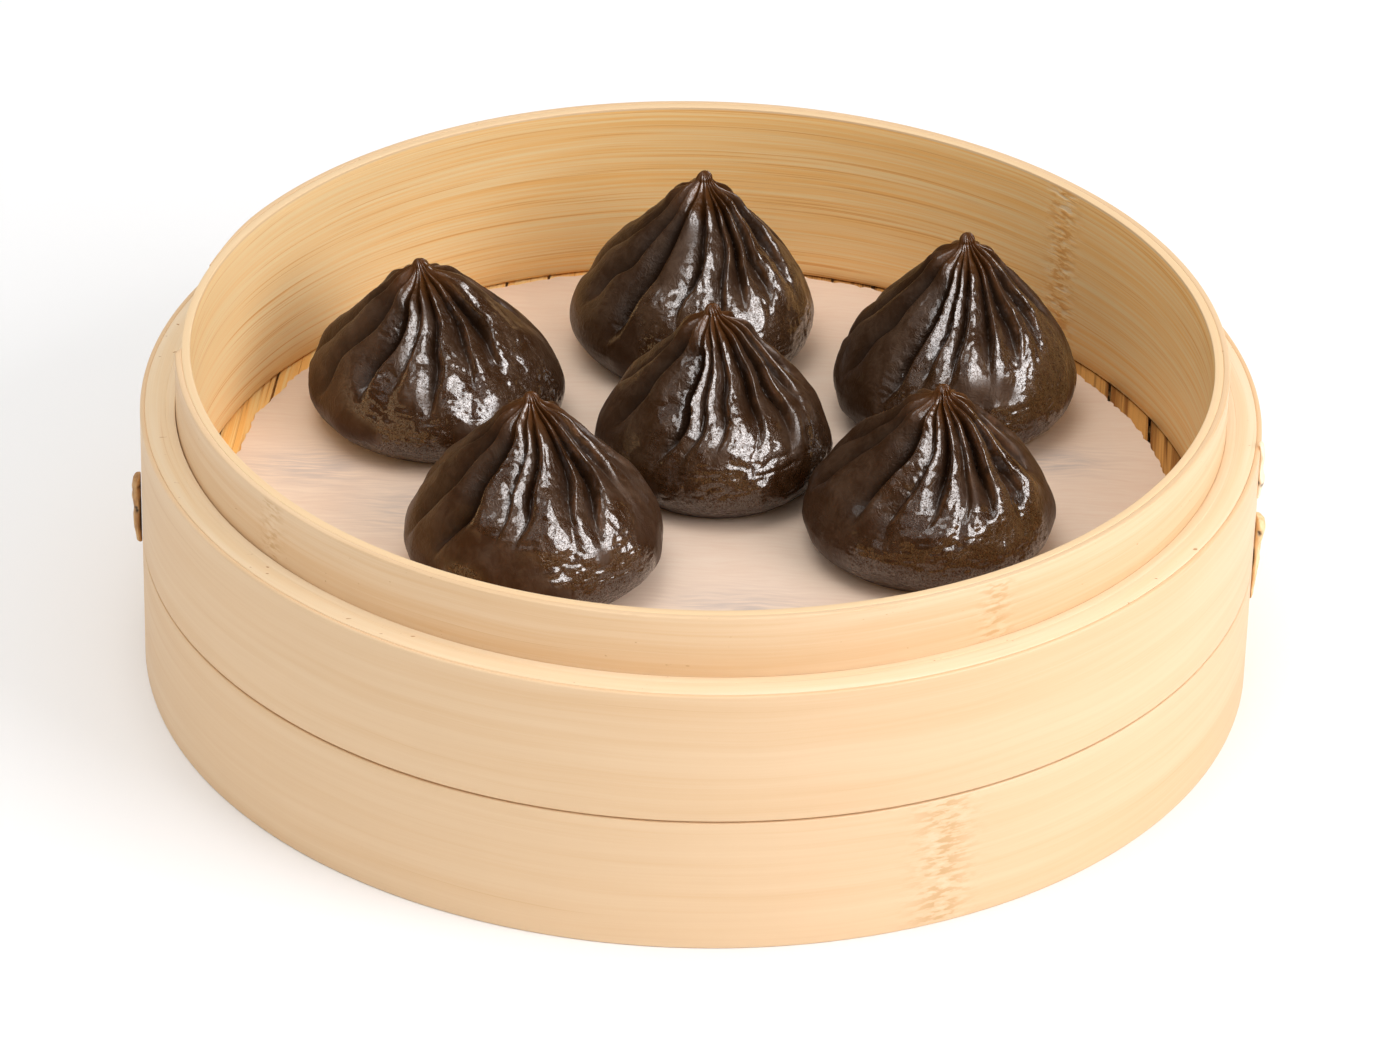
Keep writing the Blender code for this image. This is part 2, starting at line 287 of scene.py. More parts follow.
@dataclass(frozen=True)
class BambooFinish:
    """Split bamboo: level fibres, streaks that wander a little, and thin dark lines."""

    name: str
    slot: str
    pale: Colour
    deep: Colour
    line: Colour
    streak_width: float
    streak_length: float
    contrast: float
    line_amount: float
    roughness: float = 0.5
    relief_depth: float = 0.05 * MM
    sway: float = 0.8
    grain: Grain = Grain.ROUND
    turn_deg: float = 0.0
    marks: tuple[NodeMark, ...] = ()
    scar: Colour = (1.0, 0.84, 0.60)
    bands: float = 0.9
    line_width: float = 0.45 * MM
    line_share: float = 0.0
    mark_depth: float = 12.0
    mark_share: float = 1.0
    # Share of painted light laid on the piece's left side, where the key light falls on it.
    painted_light_side: float = 0.0
    specks: float = 0.0
    speck: Colour = (0.45, 0.20, 0.06)
    cut_above: float = 1.0
    cut_beyond: float = 1.0
    cut: Colour = (0.84, 0.61, 0.37)

    # Painted light: the pale warm colour, and the span in X over which the left side blends into it, as if
    # lit.
    PAINTED_LIGHT = (1.0, 0.84, 0.52)
    PAINTED_LIGHT_FROM_X = -20 * MM
    PAINTED_LIGHT_TO_X = -100 * MM
    FIBRE_WIDTH = 0.25 * MM
    LINE_LEVEL = 0.66
    LINE_SOFTNESS = 0.10
    CUT_SHARE = 0.85
    MARK_EDGE = 1 * MM

    def build(self) -> bpy.types.Material:
        """Make the material.

        Returns:
            The material.
        """
        graph = Graph(bpy.data.materials.new(self.name))
        x, y, z = graph.place()
        if self.grain is Grain.ROUND:
            across = z + graph.distance(x, y)
            along = (x, y)
        else:
            turn = math.radians(self.turn_deg)
            across = x * math.cos(turn) + y * math.sin(turn)
            along = (y, z)
        wander = graph.noise((along[0] * 30.0, along[1] * 30.0, across * 60.0), detail=1.0)
        across = across + (wander - 0.5) * (self.sway * self.streak_width)

        def fibres_of(length: float, width: float, detail: float, shift: float = 0.0) -> Num:
            """Return noise drawn out along the grain."""
            return graph.noise((along[0] / length + shift, along[1] / length, across / width), detail)

        length = self.streak_length
        streaks = fibres_of(length, self.streak_width, 3.0)
        fibres = fibres_of(length / 2, self.FIBRE_WIDTH, 2.0)
        broad = fibres_of(length * 2, 6 * self.streak_width, 1.0)
        level = self.LINE_LEVEL - self.line_share
        lines = fibres_of(length, self.line_width, 1.0, 7.0).step(level, level + self.LINE_SOFTNESS)
        tone = (streaks - 0.5) * 1.1 + (broad - 0.5) * self.bands + (fibres - 0.5) * 0.35
        share = (tone * self.contrast + 0.5).step(0.0, 1.0)
        colour = graph.blend(share, self.pale, self.deep)
        # Painted light: the left side is blended towards a pale warm colour, standing for the key light
        # falling there.
        if self.painted_light_side:
            painted_light = x.step(self.PAINTED_LIGHT_FROM_X, self.PAINTED_LIGHT_TO_X)
            colour = graph.blend(painted_light * self.painted_light_side, colour, self.PAINTED_LIGHT)
        colour = graph.blend(lines * streaks.step(0.35, 0.7) * self.line_amount, colour, self.line)
        if self.specks:
            dots = graph.noise((x * 500.0, y * 900.0, z * 1200.0), detail=1.0)
            colour = graph.blend(dots.step(0.76, 0.80) * self.specks, colour, self.speck)
        if self.cut_above < 1.0:
            outside = graph.distance(x, y).step(self.cut_beyond, self.cut_beyond + 0.2 * MM)
            above = z.step(self.cut_above, self.cut_above + 0.4 * MM)
            colour = graph.blend((above + outside).step(0.0, 1.0) * self.CUT_SHARE, colour, self.cut)
        height = fibres * 0.6 + streaks * 0.4 - lines * 0.3
        for mark in self.marks:
            mask, rough = self._mark(graph, mark, x, y, z)
            colour = graph.blend(mask * rough.step(0.49, 0.60) * self.mark_share, colour, self.line)
            colour = graph.blend(mask * rough.step(0.46, 0.34) * 0.6 * self.mark_share, colour, self.scar)
            height = height + mask * (rough - 0.5) * self.mark_depth
        roughness = (fibres - 0.5) * 0.18 + self.roughness
        return graph.finish(colour, roughness, height, self.relief_depth, {"Specular IOR Level": 0.4})

    def _mark(self, graph: Graph, mark: NodeMark, x: Num, y: Num, z: Num) -> tuple[Num, Num]:
        """Find a node mark.

        Args:
            graph: The finish's node tree.
            mark: The mark.
            x: The shaded point's X.
            y: Its Y.
            z: Its Z.

        Returns:
            Where the mark is, from 0 to 1, and its rough grain.
        """
        turn = math.radians(mark.azimuth_deg)
        facing = (x * math.cos(turn) + y * math.sin(turn)).step(0.0, 0.02)
        aside = (y * math.cos(turn) - x * math.sin(turn)) / mark.width
        band = graph.math("EXPONENT", aside * aside * -1.0)
        inside = z.step(mark.low, mark.low + self.MARK_EDGE) * z.step(mark.high, mark.high - self.MARK_EDGE)
        rough = graph.noise((x * 320.0, y * 320.0, z * 1100.0), detail=3.0)
        return facing * band * inside, rough


@dataclass(frozen=True)
class PaperFinish:
    """Damp unbleached paper with fine level fibres and pale grey wet spots."""

    name: str = "liner_paper"
    slot: str = "paper"
    pale: Colour = (0.90, 0.72, 0.57)
    warm: Colour = (0.82, 0.59, 0.44)
    damp: Colour = (0.50, 0.44, 0.42)
    damp_spots: tuple[tuple[float, float, float], ...] = ()

    def build(self) -> bpy.types.Material:
        """Make the material.

        Returns:
            The material.
        """
        graph = Graph(bpy.data.materials.new(self.name))
        x, y, _ = graph.place()
        sway = graph.noise((x * 60.0, y * 90.0, 0.0))
        y_bent = y + (sway - 0.5) * (5 * MM)
        fibres = graph.noise((x * 120.0, y_bent * 1300.0, 0.0), detail=4.0)
        creases = graph.noise((x * 60.0, y_bent * 420.0, 3.0), detail=3.0, warp=0.6)
        cloud = graph.noise((x * 45.0, y * 45.0, 5.0))
        tone = (fibres - 0.5) * 0.7 + (creases - 0.5) * 0.4 + (cloud - 0.5) * 0.5 + 0.42
        colour = graph.blend(tone.step(0.0, 1.0), self.pale, self.warm)
        streaky = (creases * 0.3 + fibres * 0.7).step(0.30, 0.66)
        for spot_x, spot_y, spread in self.damp_spots:
            dx = (x - spot_x) / spread
            dy = (y - spot_y) / (0.6 * spread)
            spot = graph.math("EXPONENT", (dx * dx + dy * dy) * -1.0)
            colour = graph.blend(spot * streaky * 0.7, colour, self.damp)
        return graph.finish(colour, 0.75, fibres * 0.6 + creases * 0.4, 0.07 * MM)


@dataclass(frozen=True)
class CaneFinish:
    """Knobby brown cane."""

    name: str
    slot: str
    light: Colour
    dark: Colour
    # Near-black colour of painted shade, laid in the holes and in the gap between strap and wall.
    pit: Colour = (0.01, 0.005, 0.002)

    def build(self) -> bpy.types.Material:
        """Make the material.

        Returns:
            The material.
        """
        graph = Graph(bpy.data.materials.new(self.name))
        x, y, z = graph.place()
        fibres = graph.noise((x * 1500.0, y * 1500.0, z * 250.0))
        cloud = graph.noise((x * 500.0, y * 500.0, z * 400.0))
        grain = fibres * 0.5 + cloud * 0.5
        colour = graph.blend(grain.step(0.35, 0.65), self.light, self.dark)
        # Painted shade: a mask from the mesh darkens the holes and the strap's side against the wall.
        colour = graph.blend(graph.attribute("pit"), colour, self.pit)
        return graph.finish(colour, 0.55, grain, 0.12 * MM)


@dataclass(frozen=True)
class DoughFinish:
    """Thin near-black brown dough, wet from steam, with painted amber glow where it is folded thin and at its
    tip, and painted shade in its fold valleys and towards its foot.
    """

    name: str = "wet_dough"
    slot: str = "dough"
    dark: Colour = (0.042, 0.0166, 0.0054)
    cloudy: Colour = (0.076, 0.0400, 0.0210)
    # Amber of painted glow along the folds' thin edges.
    fold: Colour = (0.21, 0.080, 0.024)
    # Near black of painted shade in the fold valleys.
    valley: Colour = (0.012, 0.0040, 0.0010)
    # Dark colour of painted shade towards the dough's foot.
    foot: Colour = (0.026, 0.0085, 0.0018)
    # Amber of painted glow near the tip.
    tip: Colour = (0.13, 0.044, 0.008)
    sheen: tuple[float, float, float, float] = (1.0, 0.86, 0.76, 1.0)

    FOOT_TOP = 50 * MM
    FOOT_FULL = 32 * MM

    def build(self) -> bpy.types.Material:
        """Make the material.

        Returns:
            The material.
        """
        graph = Graph(bpy.data.materials.new(self.name))
        x, y, z = graph.place()
        cloud = graph.noise((x * 170.0, y * 170.0, z * 150.0), detail=5.0, warp=0.7)
        wisps = graph.noise((x * 420.0, y * 420.0, z * 260.0), detail=3.0, warp=1.8)
        tone = (cloud * 0.6 + wisps * 0.4).step(0.38, 0.66)
        colour = graph.blend(tone, self.dark, self.cloudy)
        patchy = cloud.step(0.42, 0.60)
        fold, valley, tip, crinkle = map(graph.attribute, ("fold", "valley", "tip", "crinkle"))
        # Painted shade: the lower part of the dough is darkened towards the foot, near the paper.
        colour = graph.blend(z.step(self.FOOT_TOP, self.FOOT_FULL) * 0.7, colour, self.foot)
        # Painted glow: amber along the thin edges of the folds, standing for light coming through the thin
        # dough.
        colour = graph.blend(fold * patchy * 0.6, colour, self.fold)
        # Painted shade: the valleys between folds are darkened.
        colour = graph.blend(valley * 0.85, colour, self.valley)
        # Painted glow: amber near the tip, stronger in the valleys, standing for light coming through the
        # thin dough.
        colour = graph.blend(tip * (valley * 0.5 + 0.4), colour, self.tip)
        wet = (crinkle + tip * 0.7).step(0.0, 1.0) * (1.0 - valley * 0.8)
        skin = abs(graph.noise((x * 620.0, y * 620.0, z * 480.0), detail=2.0, warp=1.2) - 0.5)
        net = abs(graph.noise((x * 2500.0, y * 2500.0, z * 2200.0), detail=1.0, warp=0.8) - 0.5)
        height = skin * (crinkle * 0.30 + 0.25) + net * (wet * 0.10 + 0.05)
        roughness = (cloud - 0.5) * 0.15 + 0.50 - wet * 0.28
        constants = {
            "Coat Roughness": 0.05,
            "Coat IOR": 1.8,
            "Specular IOR Level": 0.22,
            "Specular Tint": self.sheen,
        }
        coat = {"Coat Weight": wet * net.step(0.015, 0.09)}
        return graph.finish(colour, roughness, height, 0.7 * MM, constants, coat)


# Mesh tools


class Relief:
    """Seeded smooth unevenness in space, between -1 and 1."""

    CELLS = 32

    def __init__(self, seed: int) -> None:
        """Draw the lattice of random values.

        Args:
            seed: The seed of the random values.
        """
        shape = (self.CELLS,) * 3
        self.lattice = np.random.default_rng(seed).uniform(-1.0, 1.0, shape)

    def at(self, points: Rows, size: float | Sequence[float]) -> Rows:
        """Read the unevenness at some points.

        Args:
            points: Rows of x, y and z.
            size: The size of a bump, the same all ways or one for each axis.

        Returns:
            One value for each point.
        """
        cell = points / np.asarray(size)
        low = np.floor(cell).astype(int)
        part = cell - low
        part = part * part * (3.0 - 2.0 * part)
        total = np.zeros(len(points))
        for corner in itertools.product((0, 1), repeat=3):
            index = (low + corner) % self.CELLS
            weight = np.prod(np.where(corner, part, 1.0 - part), axis=1)
            total += weight * self.lattice[index[:, 0], index[:, 1], index[:, 2]]
        return total


def ease(value: Rows | float) -> Rows:
    """Ease from 0 to 1 while the value goes from 0 to 1."""
    value = np.clip(value, 0.0, 1.0)
    return value * value * (3.0 - 2.0 * value)


def points_of(form: Form) -> Rows:
    """Return the places of a mesh's vertices as rows."""
    return np.array([vert.co for vert in form.verts])


def move_to(form: Form, points: Rows) -> None:
    """Put a mesh's vertices at new places."""
    for vert, point in zip(form.verts, points.tolist()):
        vert.co = point


def turn_about_axis(form: Form, degrees: float) -> None:
    """Turn a mesh about Z."""
    turn = Matrix.Rotation(math.radians(degrees), 3, "Z")
    bmesh.ops.rotate(form, verts=form.verts, cent=(0, 0, 0), matrix=turn)


def edges_along(form: Form, axis: int) -> list[bmesh.types.BMEdge]:
    """Return the edges that run along an axis of a shape of size 1."""
    return [item for item in form.edges if abs(item.verts[0].co[axis] - item.verts[1].co[axis]) > 0.5]


def heights_of(node: str) -> tuple[float, float]:
    """Return the lowest and the highest Z of a CAD node."""
    low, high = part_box(node)
    return low.z, high.z


def rounded_skin(columns: int, rows: int) -> Form:
    """Make a closed ball of radius 1 from an even grid.

    Args:
        columns: How many faces there are round the axis.
        rows: How many there are from pole to pole.

    Returns:
        The ball.
    """
    form = bmesh.new()
    bmesh.ops.create_grid(form, x_segments=columns, y_segments=rows, size=1.0)
    flat = points_of(form)
    angle = flat[:, 0] * math.pi
    climb = flat[:, 1] * math.pi / 2
    level = np.cos(climb)
    move_to(form, np.column_stack([level * np.cos(angle), level * np.sin(angle), np.sin(climb)]))
    bmesh.ops.remove_doubles(form, verts=form.verts, dist=1e-5)
    bmesh.ops.recalc_face_normals(form, faces=form.faces)
    return form


@dataclass
class Workbench:
    """Turns finished meshes into pieces that stand for CAD nodes."""

    materials: dict[str, bpy.types.Material] = field(default_factory=dict)

    def material(self, finish: Any) -> bpy.types.Material:
        """Return the material of a finish, made once."""
        if finish.name not in self.materials:
            self.materials[finish.name] = finish.build()
        return self.materials[finish.name]

    def piece(
        self,
        node: str,
        form: Form,
        finish: Any,
        smooth_deg: float = 40.0,
        values: Mapping[str, Rows] | None = None,
    ) -> None:
        """Make a piece that replaces a CAD node.

        Args:
            node: The node's name.
            form: The piece's mesh, in the row frame, which this uses up.
            finish: The finish it takes.
            smooth_deg: Edges sharper than this stay sharp.
            values: Numbers for each vertex that the finish reads.
        """
        name = f"{node}_finished"
        mesh = bpy.data.meshes.new(name)
        form.to_mesh(mesh)
        form.free()
        for key, numbers in (values or {}).items():
            layer = mesh.attributes.new(key, "FLOAT", "POINT")
            layer.data.foreach_set("value", np.asarray(numbers, dtype=np.float32))
        mesh.shade_smooth()
        mesh.set_sharp_from_angle(angle=math.radians(smooth_deg))
        mesh.materials.append(self.material(finish))
        made = bpy.data.objects.new(name, mesh)
        bpy.context.scene.collection.objects.link(made)
        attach(made, BODY)
        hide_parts(node)
        log.info("%s: %d faces", name, len(mesh.polygons))


# Wall


OUTER = dict(
    slot="bamboo_outer",
    pale=(0.835, 0.61, 0.385),
    deep=(0.755, 0.495, 0.265),
    line=(0.60, 0.34, 0.13),
)
LEDGE_BAMBOO = BambooFinish(
    name="bamboo_ledge", slot="bamboo_outer", pale=(0.90, 0.74, 0.53), deep=(0.85, 0.63, 0.38),
    line=(0.60, 0.33, 0.13), streak_width=1.4 * MM, streak_length=50 * MM, contrast=0.9,
    line_amount=0.4, roughness=0.5, relief_depth=0.06 * MM, specks=0.8,
)
OUTER_BAMBOO = BambooFinish(
    name="bamboo_outside", streak_width=2.2 * MM, streak_length=90 * MM, contrast=0.8,
    line_amount=0.25, roughness=0.5, relief_depth=0.03 * MM,
    scar=(0.90, 0.74, 0.55), mark_depth=1.5, mark_share=0.6,
    marks=(NodeMark(295.5, 0.0, 28.0 * MM, 5.5 * MM),), **OUTER,
)
RIM_BAMBOO = BambooFinish(
    name="bamboo_rim", streak_width=1.3 * MM, streak_length=60 * MM, contrast=1.1,
    line_amount=0.45, roughness=0.5, relief_depth=0.04 * MM, specks=0.5,
    scar=(0.90, 0.72, 0.50), mark_depth=2.0, mark_share=0.6,
    marks=(
        NodeMark(219.0, 55.0 * MM, 68.0 * MM, 3.0 * MM),
        NodeMark(302.5, 55.0 * MM, 68.0 * MM, 3.5 * MM),
    ),
    **OUTER,
)
# The inside of the wall; its left side carries painted light, where the key light falls on it.
INNER_BAMBOO = BambooFinish(
    name="bamboo_inside", slot="bamboo_inner", pale=(1.0, 0.73, 0.37), deep=(0.98, 0.55, 0.17),
    line=(0.82, 0.40, 0.11), streak_width=0.6 * MM, streak_length=60 * MM, contrast=1.6,
    line_amount=1.0, roughness=0.42, relief_depth=0.04 * MM, sway=1.6, bands=0.12,
    line_width=0.32 * MM, line_share=0.08, painted_light_side=0.4,
    cut_above=67.2 * MM, cut_beyond=100.9 * MM,
    marks=(NodeMark(43.0, 30.0 * MM, 68.0 * MM, 3.8 * MM),),
)
# The slats' bamboo in its darker copy, with painted shade, for the slats on the right and in the middle, and
# the rails.
SLAT_BAMBOO = BambooFinish(
    name="bamboo_slats", slot="bamboo_slat", pale=(0.64, 0.32, 0.085), deep=(0.27, 0.10, 0.018),
    line=(0.06, 0.02, 0.005), streak_width=0.8 * MM, streak_length=60 * MM, contrast=2.6,
    line_amount=1.0, line_share=0.08, roughness=0.5, relief_depth=0.12 * MM,
    grain=Grain.STRAIGHT, turn_deg=SLAT_TURN_DEG,
)
# A lighter copy of the slats' bamboo, with painted light, for the slats on the left where the key light
# falls.
PAINTED_LIT_SLAT_BAMBOO = replace(
    SLAT_BAMBOO, name="bamboo_slats_painted_lit",
    pale=(1.0, 0.69, 0.29), deep=(1.0, 0.55, 0.16), line=(0.58, 0.23, 0.04),
)


@dataclass
class Hoop:
    """One strip of bamboo bent round the axis, with rounded edges that waver a little."""

    node: str
    outer: float
    thickness: float
    finish: BambooFinish
    start_deg: float = 0.0
    sweep_deg: float = 360.0
    edge: float = 0.30 * MM
    waver: float = 0.08 * MM
    overlap: float = 0.0
    tail_deg: float = 0.0
    press: float = 0.0
    seed: int = 1

    OPEN_SIDE_DEG = 204.0
    OPEN_SPREAD_DEG = 22.0
    STEPS = 360
    ROWS = 10

    def section(self) -> Form:
        """Draw the strip's cross-section at +X, with rounded corners.

        Returns:
            The outline.
        """
        low, high = heights_of(self.node)
        outside = self.outer + self.overlap
        inside = self.outer - self.thickness
        corners = ((outside, high), (outside, low), (inside, low), (inside, high))
        form = bmesh.new()
        form.faces.new([form.verts.new((radius, 0.0, height)) for radius, height in corners])
        edge = min(self.edge, 0.42 * self.thickness)
        bmesh.ops.bevel(
            form, geom=form.verts[:], offset=edge, segments=3, profile=0.5, affect="VERTICES", material=-1
        )
        bmesh.ops.delete(form, geom=form.faces[:], context="FACES_ONLY")
        upright = [item for item in form.edges if item.calc_length() > 0.5 * (high - low)]
        bmesh.ops.subdivide_edges(form, edges=upright, cuts=self.ROWS)
        return form

    def build(self, bench: Workbench) -> None:
        """Make the hoop.

        Args:
            bench: The workbench that finishes pieces.
        """
        form = self.section()
        turn_about_axis(form, self.start_deg)
        bmesh.ops.spin(
            form,
            geom=form.verts[:] + form.edges[:],
            cent=(0, 0, 0),
            axis=(0, 0, 1),
            dvec=(0, 0, 0),
            angle=math.radians(self.sweep_deg),
            steps=round(self.STEPS * self.sweep_deg / 360.0),
            use_merge=self.sweep_deg >= 360.0,
            use_duplicate=False,
        )
        ends = [item for item in form.edges if item.is_boundary]
        bmesh.ops.holes_fill(form, edges=ends)
        bmesh.ops.recalc_face_normals(form, faces=form.faces)
        self.loosen(form)
        bench.piece(self.node, form, self.finish)

    def loosen(self, form: Form) -> None:
        """Let the strip's edges and faces waver inwards from their true sizes.

        Args:
            form: The strip's mesh, which this changes.
        """
        points = points_of(form)
        low, high = heights_of(self.node)
        relief = Relief(self.seed)
        radius = np.hypot(points[:, 0], points[:, 1])
        flat = points * (1.0, 1.0, 0.0)
        inward = self.waver * (0.5 + 0.5 * relief.at(points, 25 * MM))
        sag = self.waver * (0.5 + 0.35 * relief.at(flat, 18 * MM) + 0.15 * relief.at(flat, 5 * MM))
        share = (points[:, 2] - low) / (high - low)
        points[:, 2] -= sag * ease((share - 0.6) / 0.4)
        points[:, :2] *= ((radius - inward) / radius)[:, None]
        azimuth = np.degrees(np.arctan2(points[:, 1], points[:, 0]))
        if self.press:
            aside = (azimuth - self.OPEN_SIDE_DEG + 180.0) % 360.0 - 180.0
            closed = 1 - np.exp(-((aside / self.OPEN_SPREAD_DEG) ** 4))
            inside = ease((self.outer - 0.4 * self.thickness - radius) / (0.2 * self.thickness))
            points[:, :2] *= (1 - self.press * closed * inside / radius)[:, None]
        if self.tail_deg:
            turned = (azimuth - self.start_deg) % 360.0
            thin = 0.75 * self.thickness * ease((turned - self.sweep_deg + self.tail_deg) / self.tail_deg)
            outside = ease((radius - self.outer + self.thickness) / self.thickness)
            points[:, :2] *= (1 - thin * outside / radius)[:, None]
        move_to(form, points)


@dataclass
class Wall:
    """The hoops and bands, from the chamber outwards."""

    chamber_radius: float = 100.0 * MM
    hoop_thickness: float = 1.35 * MM
    strip_thickness: float = 1.4 * MM
    core_thickness: float = 3.7 * MM
    band_thickness: float = 1.1 * MM
    basket_radius: float = 110.0 * MM
    wrap_start_deg: float = 184.5
    wrap_sweep_deg: float = 340.5

    def build(self, bench: Workbench) -> None:
        """Make every strip of the wall.

        Args:
            bench: The workbench that finishes pieces.
        """
        thin, band = self.hoop_thickness, self.band_thickness
        hoop = self.chamber_radius + thin
        wrap = hoop + GAP + thin
        core = self.basket_radius - band - GAP
        strip = core - self.core_thickness - GAP
        press = strip - self.strip_thickness - wrap - 0.02 * MM
        closing = 1.25 * GAP
        hoops = (
            Hoop("rim_hoop", hoop, thin, INNER_BAMBOO, edge=0.2 * MM, overlap=closing, seed=21),
            Hoop("skirt_hoop", hoop, thin, INNER_BAMBOO, seed=22),
            Hoop(
                "rim_wrap", wrap, thin, RIM_BAMBOO,
                self.wrap_start_deg, self.wrap_sweep_deg, tail_deg=14.0, seed=23,
            ),
            Hoop(
                "ledge_strip", strip, self.strip_thickness, LEDGE_BAMBOO,
                edge=0.12 * MM, overlap=closing, press=press, seed=24,
            ),
            Hoop(
                "wall_core", core, self.core_thickness, LEDGE_BAMBOO,
                edge=0.12 * MM, overlap=closing, seed=25,
            ),
            Hoop("upper_band", self.basket_radius, band, OUTER_BAMBOO, edge=0.4 * MM, seed=26),
            Hoop("lower_band", self.basket_radius, band, OUTER_BAMBOO, seed=27),
        )
        for item in hoops:
            item.build(bench)


# Floor


@dataclass
class SlatFloor:
    """Slats laid edge to edge, and the two rails under them."""

    count: int = 23
    pitch: float = 8.5 * MM
    gap: float = 0.5 * MM
    shift: float = -0.75 * MM
    turn_deg: float = SLAT_TURN_DEG
    reach: float = 101.35 * MM
    rail_reach: float = 99.7 * MM
    rail_width: float = 12.0 * MM
    rail_offset: float = 34.5 * MM
    parted: int = 22
    parted_back: float = 37.4 * MM
    parted_front: float = 29.9 * MM
    # How many slats, counted from the left, take the copy with painted light.
    painted_lit_count: int = 9

    CUTS_ACROSS = 9
    CUTS_ALONG = 47
    GROOVE_DEPTH = 0.16 * MM
    GROOVE_SIZE = (0.9 * MM, 30 * MM, 5 * MM)

    def bar(
        self,
        node: str,
        reach: float,
        centre: float,
        width: float,
        turn_deg: float,
        y_from: float = -math.inf,
        y_to: float = math.inf,
    ) -> Form:
        """Shape a bar with grooved faces and rounded edges between two arcs.

        Args:
            node: The node that it stands for, which gives its heights.
            reach: Distance of its ends from the axis.
            centre: The bar's place across, before it is turned.
            width: The bar's width.
            turn_deg: The turn about Z.
            y_from: No part of it is in front of this.
            y_to: No part of it is behind this.

        Returns:
            The bar.
        """
        low, high = heights_of(node)
        form = bmesh.new()
        bmesh.ops.create_cube(form, size=1.0)
        sides = edges_along(form, 1)
        bmesh.ops.bevel(form, geom=sides, offset=0.06, segments=2, profile=0.5, affect="EDGES", material=-1)
        for axis, cuts in ((0, self.CUTS_ACROSS), (1, self.CUTS_ALONG)):
            bmesh.ops.subdivide_edges(form, edges=edges_along(form, axis), cuts=cuts, use_grid_fill=True)
        points = points_of(form)
        x = centre + points[:, 0] * width
        half = np.sqrt(reach**2 - x**2)
        y_low = np.clip(-half, y_from, y_to)
        y_high = np.clip(half, y_from, y_to)
        y = y_low + (points[:, 1] + 0.5) * (y_high - y_low)
        z = low + (points[:, 2] + 0.5) * (high - low)
        placed = np.stack([x, y, z], axis=1)
        grooves = 0.5 + 0.5 * Relief(len(node)).at(placed, self.GROOVE_SIZE)
        placed[:, 2] -= self.GROOVE_DEPTH * grooves * (points[:, 2] > 0.4)
        move_to(form, placed)
        turn_about_axis(form, turn_deg)
        bmesh.ops.recalc_face_normals(form, faces=form.faces)
        return form

    def build(self, bench: Workbench) -> None:
        """Make the slats and rails.

        Args:
            bench: The workbench that finishes pieces.
        """
        width = self.pitch - self.gap
        for number in range(1, self.count + 1):
            centre = self.shift + (number - (self.count + 1) / 2) * self.pitch
            # The first slats, on the left, take the copy with painted light; the rest take the copy with
            # painted shade.
            finish = PAINTED_LIT_SLAT_BAMBOO if number <= self.painted_lit_count else SLAT_BAMBOO
            node = f"slat_{number:02d}"
            parts = {node: {}}
            if number == self.parted:
                parts = {
                    f"{node}_back": {"y_from": self.parted_back},
                    f"{node}_front": {"y_to": self.parted_front},
                }
            for name, cuts in parts.items():
                form = self.bar(name, self.reach, centre, width, self.turn_deg, **cuts)
                bench.piece(name, form, finish)
        for name, offset in (("floor_rail_back", self.rail_offset), ("floor_rail_front", -self.rail_offset)):
            form = self.bar(name, self.rail_reach, -offset, self.rail_width, 90 + self.turn_deg)
            bench.piece(name, form, SLAT_BAMBOO)


# Paper


@dataclass
class PaperLiner:
    """A thin round paper with a fuzzy, slightly stepped edge."""

    node: str = "paper_liner"
    centre_y: float = 4.8 * MM
    radius: float = 94.4 * MM
    thickness: float = 0.2 * MM
    segments: int = 720
    rings: int = 24

    RAGGED = 0.6 * MM
    WAVE_SIZE = (30 * MM, 5 * MM, 1.0)
    WAVE_HEIGHT = 0.03 * MM
    SUNK = 0.08 * MM

    def build(self, bench: Workbench) -> None:
        """Make the liner.

        Args:
            bench: The workbench that finishes pieces.
        """
        form = bmesh.new()
        bmesh.ops.create_circle(form, segments=self.segments, radius=1.0)
        rim = form.edges[:]
        for ring in range(self.rings - 1, 0, -1):
            grown = bmesh.ops.extrude_edge_only(form, edges=rim)["geom"]
            rim = [item for item in grown if isinstance(item, bmesh.types.BMEdge)]
            verts = [item for item in grown if isinstance(item, bmesh.types.BMVert)]
            bmesh.ops.scale(form, vec=Vector((1, 1, 1)) * (ring / (ring + 1)), verts=verts)
        bmesh.ops.holes_fill(form, edges=rim)
        unit = points_of(form)
        share = np.hypot(unit[:, 0], unit[:, 1])
        relief = Relief(51)
        flat = unit * self.radius
        ragged = 0.8 * relief.at(flat, 16 * MM) + 0.5 * relief.at(flat, 3 * MM)
        ragged += 0.8 * relief.at(flat, 1.1 * MM)
        reach = self.radius - self.RAGGED + ragged * self.RAGGED
        scale = np.where(share > 0.97, reach, self.radius)
        points = unit * scale[:, None]
        points[:, 1] += self.centre_y
        _, top = heights_of(self.node)
        points[:, 2] = top - self.SUNK + relief.at(points, self.WAVE_SIZE) * self.WAVE_HEIGHT
        move_to(form, points)
        bmesh.ops.recalc_face_normals(form, faces=form.faces)
        if form.faces[0].normal.z < 0:
            bmesh.ops.reverse_faces(form, faces=form.faces)
        bmesh.ops.solidify(form, geom=form.faces[:], thickness=self.thickness)
        bmesh.ops.recalc_face_normals(form, faces=form.faces)
        finish = PaperFinish(
            damp_spots=(
                (-52 * MM, -4 * MM, 16 * MM),
                (-78 * MM, 12 * MM, 12 * MM),
                (26 * MM, 20 * MM, 10 * MM),
                (72 * MM, 22 * MM, 9 * MM),
                (8 * MM, -40 * MM, 14 * MM),
            )
        )
        bench.piece(self.node, form, finish)


# Dumplings


@dataclass(frozen=True)
class Bulge:
    """A soft swelling of the skin: where it is, how far it stands out and how wide it is."""

    azimuth_deg: float
    share: float
    lift: float
    spread_deg: float = 28.0
    spread_share: float = 0.12


